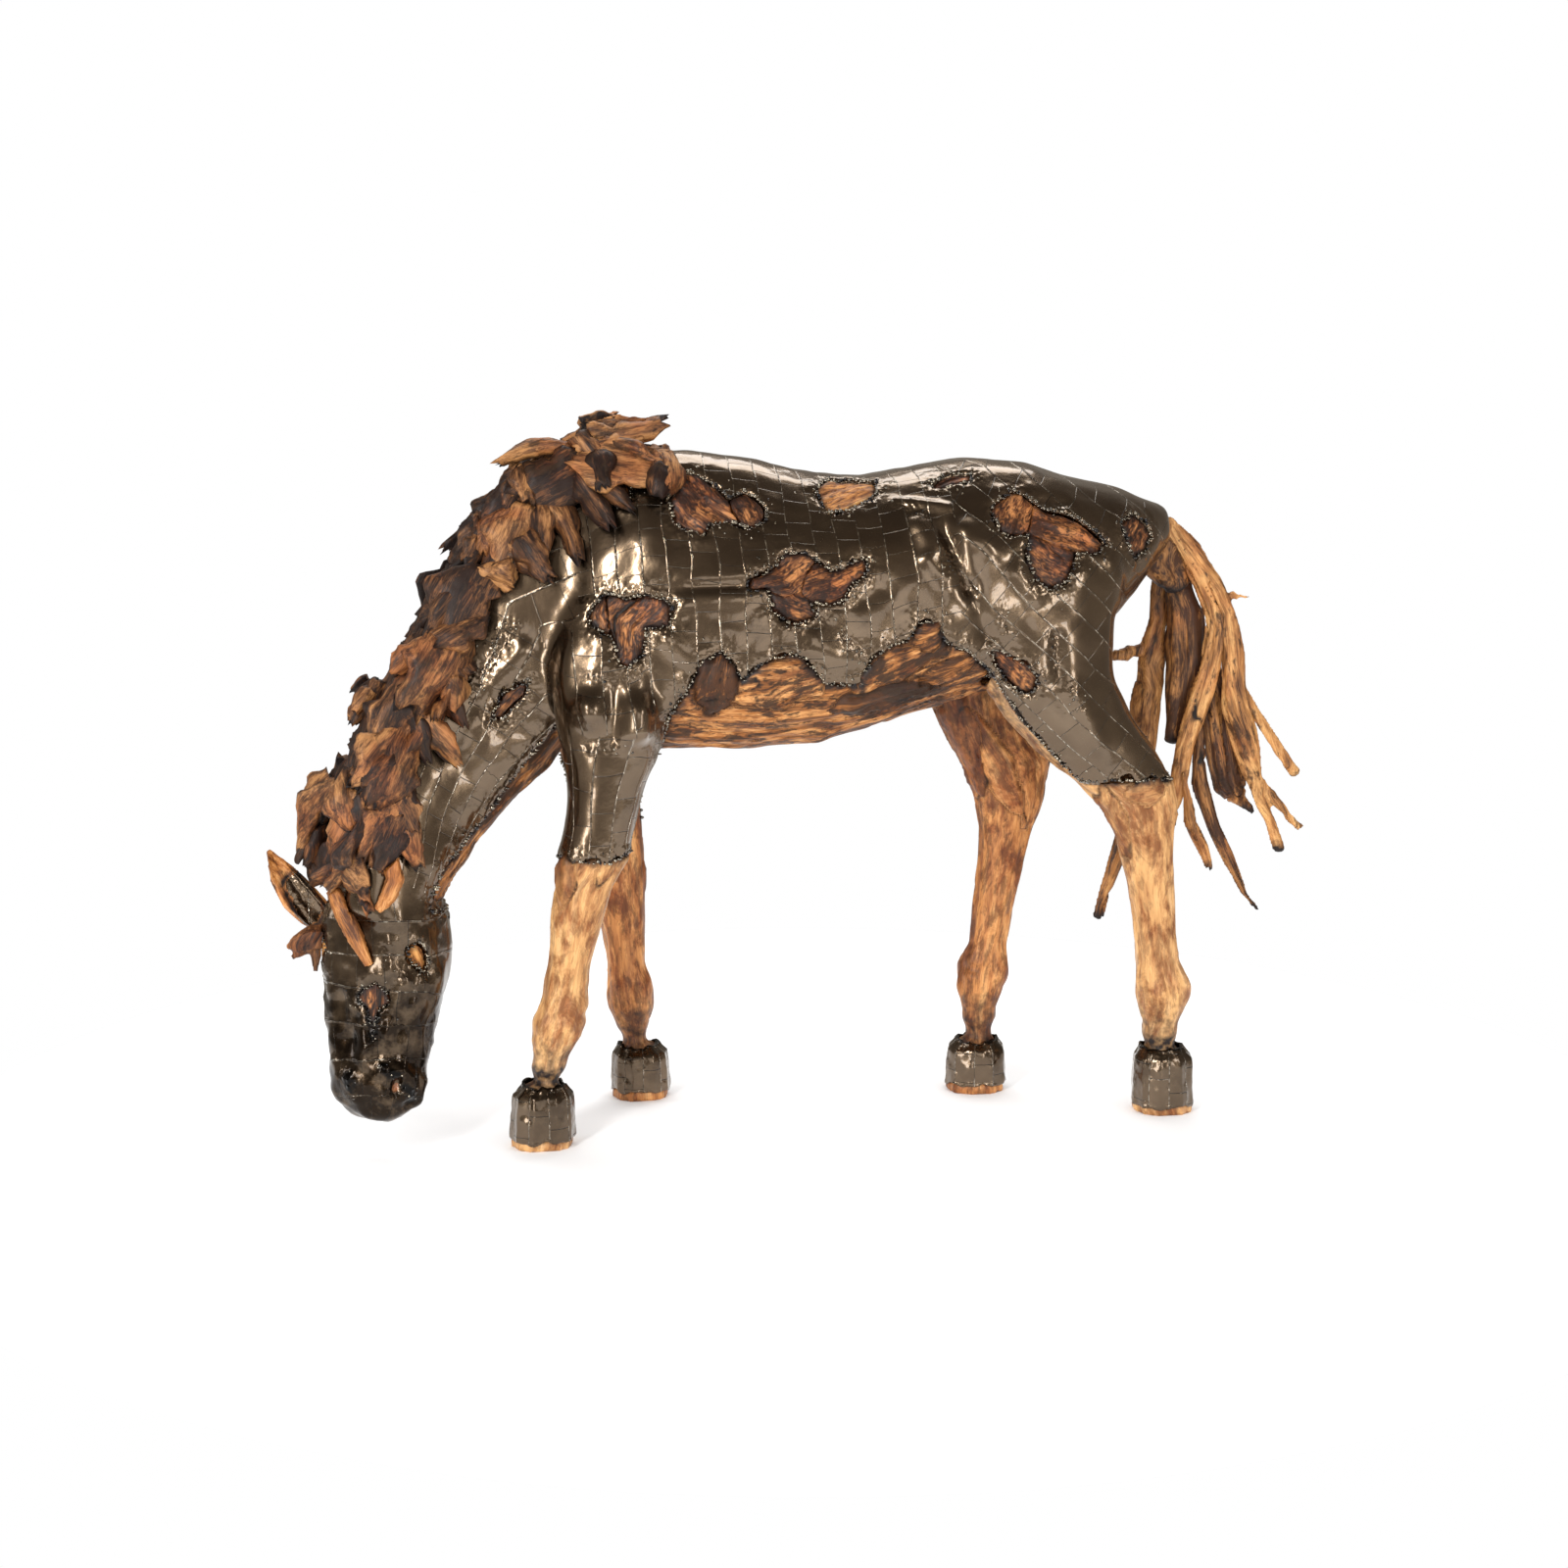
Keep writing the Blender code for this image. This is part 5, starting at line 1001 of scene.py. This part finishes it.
def hoof_cup(node, seed):
    """A cup bulged plate by plate, with beads of weld between them and a torn upper edge."""
    shape = cad_shape(node)
    bmesh.ops.triangulate(shape, faces=shape.faces)
    bmesh.ops.recalc_face_normals(shape, faces=shape.faces)
    for _ in range(CUP_CUTS):
        long = [e for e in shape.edges if e.calc_length() > CUP_GRID * 1.5]
        if not long:
            break
        bmesh.ops.subdivide_edges(shape, edges=long, cuts=1, use_grid_fill=False)
        bmesh.ops.triangulate(shape, faces=shape.faces)
    points = np.array([v.co[:] for v in shape.verts])
    outward = np.array([v.normal[:] for v in shape.verts])
    faces = np.array([[v.index for v in f.verts] for f in shape.faces])
    shape.free()
    middle = (points.min(0) + points.max(0)) / 2
    away = points - middle
    angle = np.arctan2(away[:, 1], away[:, 0])
    plates = angle / (2 * np.pi) * CUP_PLATES + seed * CUP_TURN
    turned = plates % 1
    seam = bell(np.minimum(turned, 1 - turned), 0.06)
    top, bottom = points[:, 2].max(), points[:, 2].min()
    height = (points[:, 2] - bottom) / (top - bottom)
    rim = bell(1 - height, 0.05)
    outer = (outward * away).sum(1) > 0
    radial = away * (1, 1, 0)
    radial /= np.maximum(np.linalg.norm(radial, axis=1, keepdims=True), 1e-9)
    around = np.stack([np.cos(angle), np.sin(angle), np.full(len(angle), seed)], axis=1)
    push = np.where(outer, 0.0016 * seam + 0.0022 * np.sin(np.pi * turned) * np.sin(np.pi * height)
                    + 0.0022 * grain(points / 0.030, seed) + 0.0010 * grain(points / 0.012, seed + 9), 0)
    push = push + rim * np.where(outer, 0.0035 + 0.0035 * grain(points / 0.009, seed + 1), 0)
    push = push - CUP_DRAWN_IN * unit((height - 0.72) / 0.28) ** 1.4
    points = points + radial * push[:, None]
    points[:, 2] += (height > 0.8) * ((height - 0.8) / 0.2) * 0.0055 * grain(around * 3.1, seed + 2, 2)
    points[:, 2] += (height < 0.15) * (1 - height / 0.15) * 0.0075 * (0.9 + grain(around * 2.2, seed + 3, 2))
    weld_here = unit(rim + 0.35 * seam)
    layout = np.stack([plates + 60.0, height * 1.6 + 60.05], axis=1)
    plate = np.floor(plates)
    # Each plate darker by a random amount and all darker towards the top: partly soot, partly painted shade
    # for the cups' uneven reflections
    own_shade = grain(np.stack([plate * 1.7, np.full(len(plate), seed), plate * 0], axis=1), seed)
    darker = 0.35 * (1 + own_shade) * (0.4 + 0.6 * height)
    made = piece_from(node + "_welded", points, faces.tolist(), plate_steel,
                      {"weld": weld_here, "soot_and_shade": darker}, layout[faces])
    set_in_statue(made, "blackened_steel", node)


for number, node in enumerate(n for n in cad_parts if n.endswith("hoof_cup")):
    hoof_cup(node, 71 + number)

# Mane: split and broken pieces of old timber, each nailed through into the crest so that it lies
# over the next like a shingle, broad ones beneath and slim ones over them, oiled a red-brown.

mane_wood = wood_material("split_redbrown_timber", "ab7847", "6c4424", "26140a", figure=0.24, stain=0.12,
                          gloss=0.5, streak=0.8, flecks=0.75, redness=0.5)
# The larger pieces as seen from the left in centimetres: root x and z, tip x and z, half width, and
# for one of them its own tone
MANE = {
    "mane_withers": (
        (-46, 152, -61, 143, 4.6), (-29, 149.5, -47, 151, 4.2), (-59, 145, -72, 129, 4.6),
        (-57, 141, -63.5, 126, 4.2), (-45, 157.2, -28, 158.9, 2.4, 0.9), (-28.5, 153, -29, 144, 3.0),
        (-47.5, 156, -41, 147, 2.8), (-48, 150, -40.5, 137.5, 2.4), (-53.5, 144.5, -48, 130.5, 2.2),
        (-59, 150, -64, 140, 1.9), (-63, 132.5, -53, 126, 2.2), (-68, 139, -72, 130, 2.2),
    ),
    "mane_middle": (
        (-68, 128, -76, 113, 4.8), (-74, 117, -84, 99, 5.0), (-82, 104, -89, 88, 5.0),
        (-69.5, 128, -62.5, 124, 2.0), (-68, 120, -79, 113.5, 3.1), (-80, 113, -86, 106, 2.5),
        (-76, 113, -70.5, 107, 2.5), (-76.5, 107, -73.5, 96, 2), (-90.5, 104, -96.5, 95.5, 2.4),
        (-84.5, 99, -75, 87.5, 2.6),
    ),
    "mane_poll": (
        (-86, 95, -93, 79, 4.8), (-90, 83, -98, 66, 5.0), (-87, 77, -92, 66, 3.8),
        (-89, 90, -95.5, 83, 3.4), (-90, 87, -84.5, 74.5, 3.6), (-97, 86, -96, 74, 2.6),
        (-99, 84, -105, 70, 2.6), (-97, 70, -104.5, 61, 3.6), (-99, 65, -94, 57.5, 1.7),
        (-104, 74, -107.6, 65, 1.7),
    ),
}
# Points along a split and round it
SHARD_STATIONS = 18
SHARD_ROUND = 16
# In metres: the net of the crest's wood and the height above which it is pale, half a split's
# thickness, how far its middle line starts above what it lies on, how much further its tip rises,
# and how far from the middle it may reach
MANE_NET = 0.006
PALE_ABOVE = 1.485
SHARD_HALF_THICK = 0.020
LIFTED = 0.002
TIP_RISE = 0.016
SHARD_WIDEST = 0.24
# How much broader than listed a split is cut, to overlap the next, and how far it is turned outward
BROADER = 1.35
OUTWARD = 0.7


class Timber:
    """Gathers many pieces of wood into one mesh, with what its material reads."""

    def __init__(self):
        self.points, self.faces = [], []
        self.read = {"wood": [], "tint": [], "scorch": [], "split": []}

    def take(self, points, faces, **read):
        """Adds one piece of wood, with what its material reads at each point or all over."""
        start = sum(len(p) for p in self.points)
        self.points.append(points)
        self.faces += [[start + i for i in face] for face in faces]
        for label, values in read.items():
            self.read[label].append(values if np.ndim(values) else np.full(len(points), values))

    def piece(self, name, material):
        """All that was gathered, as one piece."""
        read = {label: np.concatenate(values) for label, values in self.read.items()}
        return piece_from(name, np.concatenate(self.points), self.faces, material, read)


def split_shard(timber, start, end, out, half_width, half_thick, curl, seed, tone=0.0):
    """One split of wood from start to end, its broad face turned out, its edges and ends broken."""
    luck = random.Random(seed)
    start, end, out = np.array(start), np.array(end), np.array(out)
    length = np.linalg.norm(end - start)
    along = (end - start) / length
    thick = out - along * (out @ along)
    thick /= np.linalg.norm(thick)
    wide = np.cross(along, thick)
    s, k = np.meshgrid(np.linspace(0, 1, SHARD_STATIONS), np.arange(SHARD_ROUND), indexing="ij")
    angle = k * 2 * np.pi / SHARD_ROUND
    # Broadest at its peak, blunt at its tip, and thickest in the middle
    peak = luck.uniform(0.3, 0.7)
    blunt = luck.uniform(0.22, 0.55)
    width = np.where(s < peak, 0.62 + 0.38 * np.sin(np.pi / 2 * s / peak),
                     blunt + (1 - blunt) * unit((1 - s) / (1 - peak)) ** luck.uniform(0.6, 1.1))
    depth = 0.45 + 0.55 * np.sin(np.pi * unit(s * 0.84 + 0.1))
    # Torn edges, and ends broken across the grain
    side, rise = np.cos(angle), np.sin(angle)
    reach = np.abs(side) ** 0.85 * np.sign(side)
    down = (s * length / 0.028).ravel()
    which_edge = np.where(side > 0, 1.0, 7.0).ravel() + seed % 97
    torn = grain(np.stack([which_edge, down, np.zeros_like(down)], axis=-1), seed, 2)
    ragged = 1 + 0.30 * torn.reshape(s.shape)
    rise = np.where(rise > 0, rise, rise * 0.5)
    tip, butt = unit((s - 0.75) / 0.25), unit((0.15 - s) / 0.15)
    # About one turn round the split
    turn = np.arange(SHARD_ROUND) * 0.393
    broken = grain(np.stack([np.cos(turn) * 2.2, np.sin(turn) * 2.2, np.full(SHARD_ROUND, seed % 89)],
                            axis=-1), seed + 5, 2)
    run = s * length + length * (0.13 * tip - 0.08 * butt) * broken[k]
    sway = luck.uniform(-0.2, 0.2) * length * np.sin(np.pi * s)
    x = reach * half_width * width * ragged + sway
    # Ridges and hollows along the grain, then curl, cup, tilt and twist
    across = np.stack([x / 0.013, np.full_like(x, seed % 83), run / 0.10], axis=-1).reshape(-1, 3)
    ridge = 1 - 2.2 * np.abs(grain(across, seed + 1, 2)).reshape(s.shape)
    hollow = grain(across * (0.35, 1, 0.8), seed + 2).reshape(s.shape)
    worn = (0.13 * ridge + 0.45 * hollow) * (rise > -0.2) * np.sqrt(np.abs(rise))
    y = half_thick * (rise * depth + worn)
    y = y + curl * s ** 2 + half_width * 0.30 * (1 - reach ** 2) * luck.uniform(0.0, 1.0)
    y = y + x * math.tan(luck.uniform(-0.4, 0.4)) + x * np.tan(luck.uniform(-0.5, 0.5) * (s - 0.5))
    points = (start + along * run[..., None] + wide * x[..., None] + thick * y[..., None]).reshape(-1, 3)
    # No piece stands out wider than the shoulder
    points[:, 1] -= np.sign(points[:, 1]) * 0.7 * np.maximum(np.abs(points[:, 1]) - SHARD_WIDEST, 0)
    ends = np.stack([points[:SHARD_ROUND].mean(0), points[-SHARD_ROUND:].mean(0)])
    ends += np.array([along, -along]) * 0.005
    faces = []
    for i in range(SHARD_STATIONS - 1):
        for j in range(SHARD_ROUND):
            a, b = i * SHARD_ROUND + j, i * SHARD_ROUND + (j + 1) % SHARD_ROUND
            faces.append([a, b, b + SHARD_ROUND, a + SHARD_ROUND])
    last = len(points)
    for j in range(SHARD_ROUND):
        faces.append([(j + 1) % SHARD_ROUND, j, last])
        faces.append([last - SHARD_ROUND + j, last - SHARD_ROUND + (j + 1) % SHARD_ROUND, last + 1])
    points = np.concatenate([points, ends])
    wood = np.stack([x + luck.uniform(0.0, 0.05), y + luck.uniform(-0.02, 0.03), run + luck.uniform(0, 5)],
                    axis=-1)
    wood = np.concatenate([wood.reshape(-1, 3), wood[0, :1], wood[-1, -1:]])
    hollows = unit(-ridge) * 0.25
    # Painted shade along each split's underside and at its root, where it lies under the next one
    under = unit((0.30 - rise) / 0.45) * 0.70
    hollows_and_painted_shade = np.concatenate([np.maximum(hollows, under + butt * 0.2).ravel(), [0.6, 0.6]])
    timber.take(points, faces, wood=wood, tint=tone + luck.uniform(-0.7, 0.45), scorch=hollows_and_painted_shade, split=0.0)


def seen_from(tree, across, up, side):
    """A surface seen level from one side, in metres, and its outward direction there."""
    x, z = across / 100 + SHIFT[0], up / 100
    hit, normal, _, _ = tree.ray_cast(Vector((x, side * 2.0, z)), Vector((0, -side, 0)))
    if hit is None:
        hit, normal, _, _ = tree.find_nearest(Vector((x, side * 0.05 + SHIFT[1], z)))
    return hit, (normal + Vector((0, OUTWARD * side, 0))).normalized()


def mane_shard(timber, tree, root, tip, half_width, lift, side, seed, curl, tone=0.0):
    """A split laid on what is below it, between two places seen from the side in centimetres."""
    start, root_out = seen_from(tree, *root, side)
    end, tip_out = seen_from(tree, *tip, side)
    out = (root_out + tip_out).normalized()
    if (end - start).length < 0.03:
        return
    split_shard(timber, start + out * lift, end + out * (lift + TIP_RISE), out, half_width,
                SHARD_HALF_THICK, curl, seed, tone)


def build_mane(stretch, number):
    """A stretch of the mane: its bed on the crest, then on each side a broad and a slim split for
    each one listed, the broad ones of the far side only for every third."""
    luck = random.Random(200 + number)
    timber = Timber()
    points, faces = skin_of(stretch, MANE_NET)
    wood = grown(points)
    points, opened = carve(fair(points, edges_of(faces), 4), faces, wood, 240 + number, 0.004, 0.004, 0.008)
    crest = unit((points[:, 2] - PALE_ABOVE) / 0.02)
    timber.take(points, faces.tolist(), wood=wood, tint=0.75 * crest - 0.45, scorch=0.38 - 0.34 * crest,
                split=opened)
    bed = np.concatenate([points, np.array(plate_points)])
    bed_tree = BVHTree.FromPolygons(bed.tolist(), faces.tolist() + (plate_faces + len(points)).tolist())
    for i, (x0, z0, x1, z1, half, *own_tone) in enumerate(MANE[stretch]):
        for side in (-1, 1):
            if side < 0 or i % 3 == 0:
                mane_shard(timber, bed_tree, (x0, z0), (x1, z1), half / 100 * BROADER, LIFTED, side,
                           300 + 40 * number + i * 2 + (side > 0), luck.uniform(0.0, 0.010), sum(own_tone))
            # A slim piece laid beside or over it
            root = x0 + luck.uniform(-4, 4), z0 + luck.uniform(-3.5, 3.5)
            turn, reach = luck.uniform(-0.5, 0.5), luck.uniform(0.6, 1.0)
            dx, dz = (x1 - x0) * reach, (z1 - z0) * reach
            tip = (root[0] + dx * math.cos(turn) - dz * math.sin(turn),
                   root[1] + dx * math.sin(turn) + dz * math.cos(turn))
            mane_shard(timber, bed_tree, root, tip, luck.uniform(0.022, 0.042),
                       LIFTED + luck.uniform(0.0, 0.008), side, luck.randrange(10 ** 6),
                       luck.uniform(0.0, 0.008), luck.uniform(-0.2, 0.3) + sum(own_tone))
    set_in_statue(timber.piece(stretch + "_shards", mane_wood), "dark_wood", stretch)


for number, stretch in enumerate(MANE):
    build_mane(stretch, number)

# Ears, forelock and cheek splinter: thin broken pieces of the same timber as the mane, pushed in
# between its lowest pieces and the steel of the head.

# How deep the ear is scooped out, in metres, in how many lengths its width is measured, and the run
# of its lining in centimetres
EAR_HOLLOW = 0.024
EAR_LENGTHS = 24
EAR_LINING = ((-109.5, -10.5, 60.5), (-106.5, -10.5, 54), 3.1)


def hollowed(points, normals, wood):
    """The ear's near face scooped out between its edges, leaf-shaped."""
    run = (wood[:, 2] - wood[:, 2].min()) / np.ptp(wood[:, 2])
    away = np.abs(wood[:, 0])
    slot = np.clip((run * EAR_LENGTHS).astype(int), 0, EAR_LENGTHS - 1)
    widest = np.array([away[slot == i].max() if (slot == i).any() else 0.01 for i in range(EAR_LENGTHS)])
    share = away / np.interp(run * EAR_LENGTHS, np.arange(EAR_LENGTHS) + 0.5, widest)
    facing = unit(-normals[:, 1] * 1.6 - 0.2)
    within = unit(run / 0.15) * unit((1 - run) / 0.12)
    scoop = unit(1 - share ** 2) * facing * within
    return points + np.array((0, EAR_HOLLOW, 0)) * scoop[:, None]


ear_wood = wood_material("oiled_orange_split", "d49a5f", "a4662f", "55301a", figure=0.25, stain=0.08,
                         gloss=0.42, streak=0.7, redness=0.3)
for number, (node, shape, timber) in enumerate((
        ("far_ear", hollowed, ear_wood), ("near_ear", None, ear_wood), ("forelock", None, ear_wood),
        ("cheek_splinter", None, mane_wood))):
    made = wooden_piece(node + "_carved", node, timber, "dark_wood", net=0.0036, seed=81 + 5 * number,
                        lump=0.0015, flute=0.0020, crack=0.003, across=(0.02, 0), rounds=4, shape=shape,
                        scorched=lambda points: np.full(len(points), 0.05))
    if node != "far_ear":
        continue
    # The hollow is lined with plate, up to a dark burnt edge
    mesh = made.data
    mesh.materials.append(plate_steel)
    spots = np.array([v.co[:] for v in mesh.vertices])
    lined = nearness((spots - SHIFT) * 100, [EAR_LINING])
    mesh.attributes.new("weld", "FLOAT", "POINT").data.foreach_set("value", (0.55 * lined).astype(np.float32))
    near_edge = bell(lined - 0.36, 0.14)
    mesh.attributes["scorch"].data.foreach_set("value", np.maximum(near_edge * 0.7, 0.05).astype(np.float32))
    sheet = mesh.uv_layers.new(name="plates")
    for polygon in mesh.polygons:
        if min(lined[i] for i in polygon.vertices) > 0.42 and polygon.normal.y < 0.1:
            polygon.material_index = 1
        for loop in polygon.loop_indices:
            spot = spots[mesh.loops[loop].vertex_index]
            sheet.data[loop].uv = (spot[0] * 21 + 60.4, spot[2] * 18 + 60.2)

# Tail: driftwood branches and roots pegged into the dock and hanging in long curves, some forked,
# bleached and then oiled, dark in their hollows.

tail_wood = wood_material("oiled_driftwood", "dca769", "a8723e", "442713", figure=0.09, stain=0.11,
                          gloss=0.48, streak=0.75, redness=0.3)
# Tone of each branch, and how much it is left thicker than the rest, in metres
BRANCHES = {
    "tail_dock": (-0.45, 0.016), "tail_main": (0.2, 0.005), "tail_outer": (0.1, 0.005),
    "tail_dark": (-0.6, 0.013), "tail_loop": (-0.2, 0.008), "tail_slab": (-0.4, 0.006),
    "tail_sweep": (-0.35, 0.002), "tail_short": (0.1, 0.002),
}


def black_tip(points):
    """The hanging end of a branch is burnt to a point."""
    return 0.10 + 0.75 * bell(points[:, 2] - points[:, 2].min(), 0.022)


for number, (node, (branch_tone, stout)) in enumerate(BRANCHES.items()):
    wooden_piece(node + "_carved", node, tail_wood, "honey_wood", net=0.0042, seed=401 + 7 * number,
                 lump=0.0052, flute=0.0034, crack=0.006, scorched=black_tip, across=(0.012, 0), rounds=4,
                 tone=branch_tone,
                 shape=lambda points, normals, wood: points + normals * (1, 0.4, 0.3) * stout)
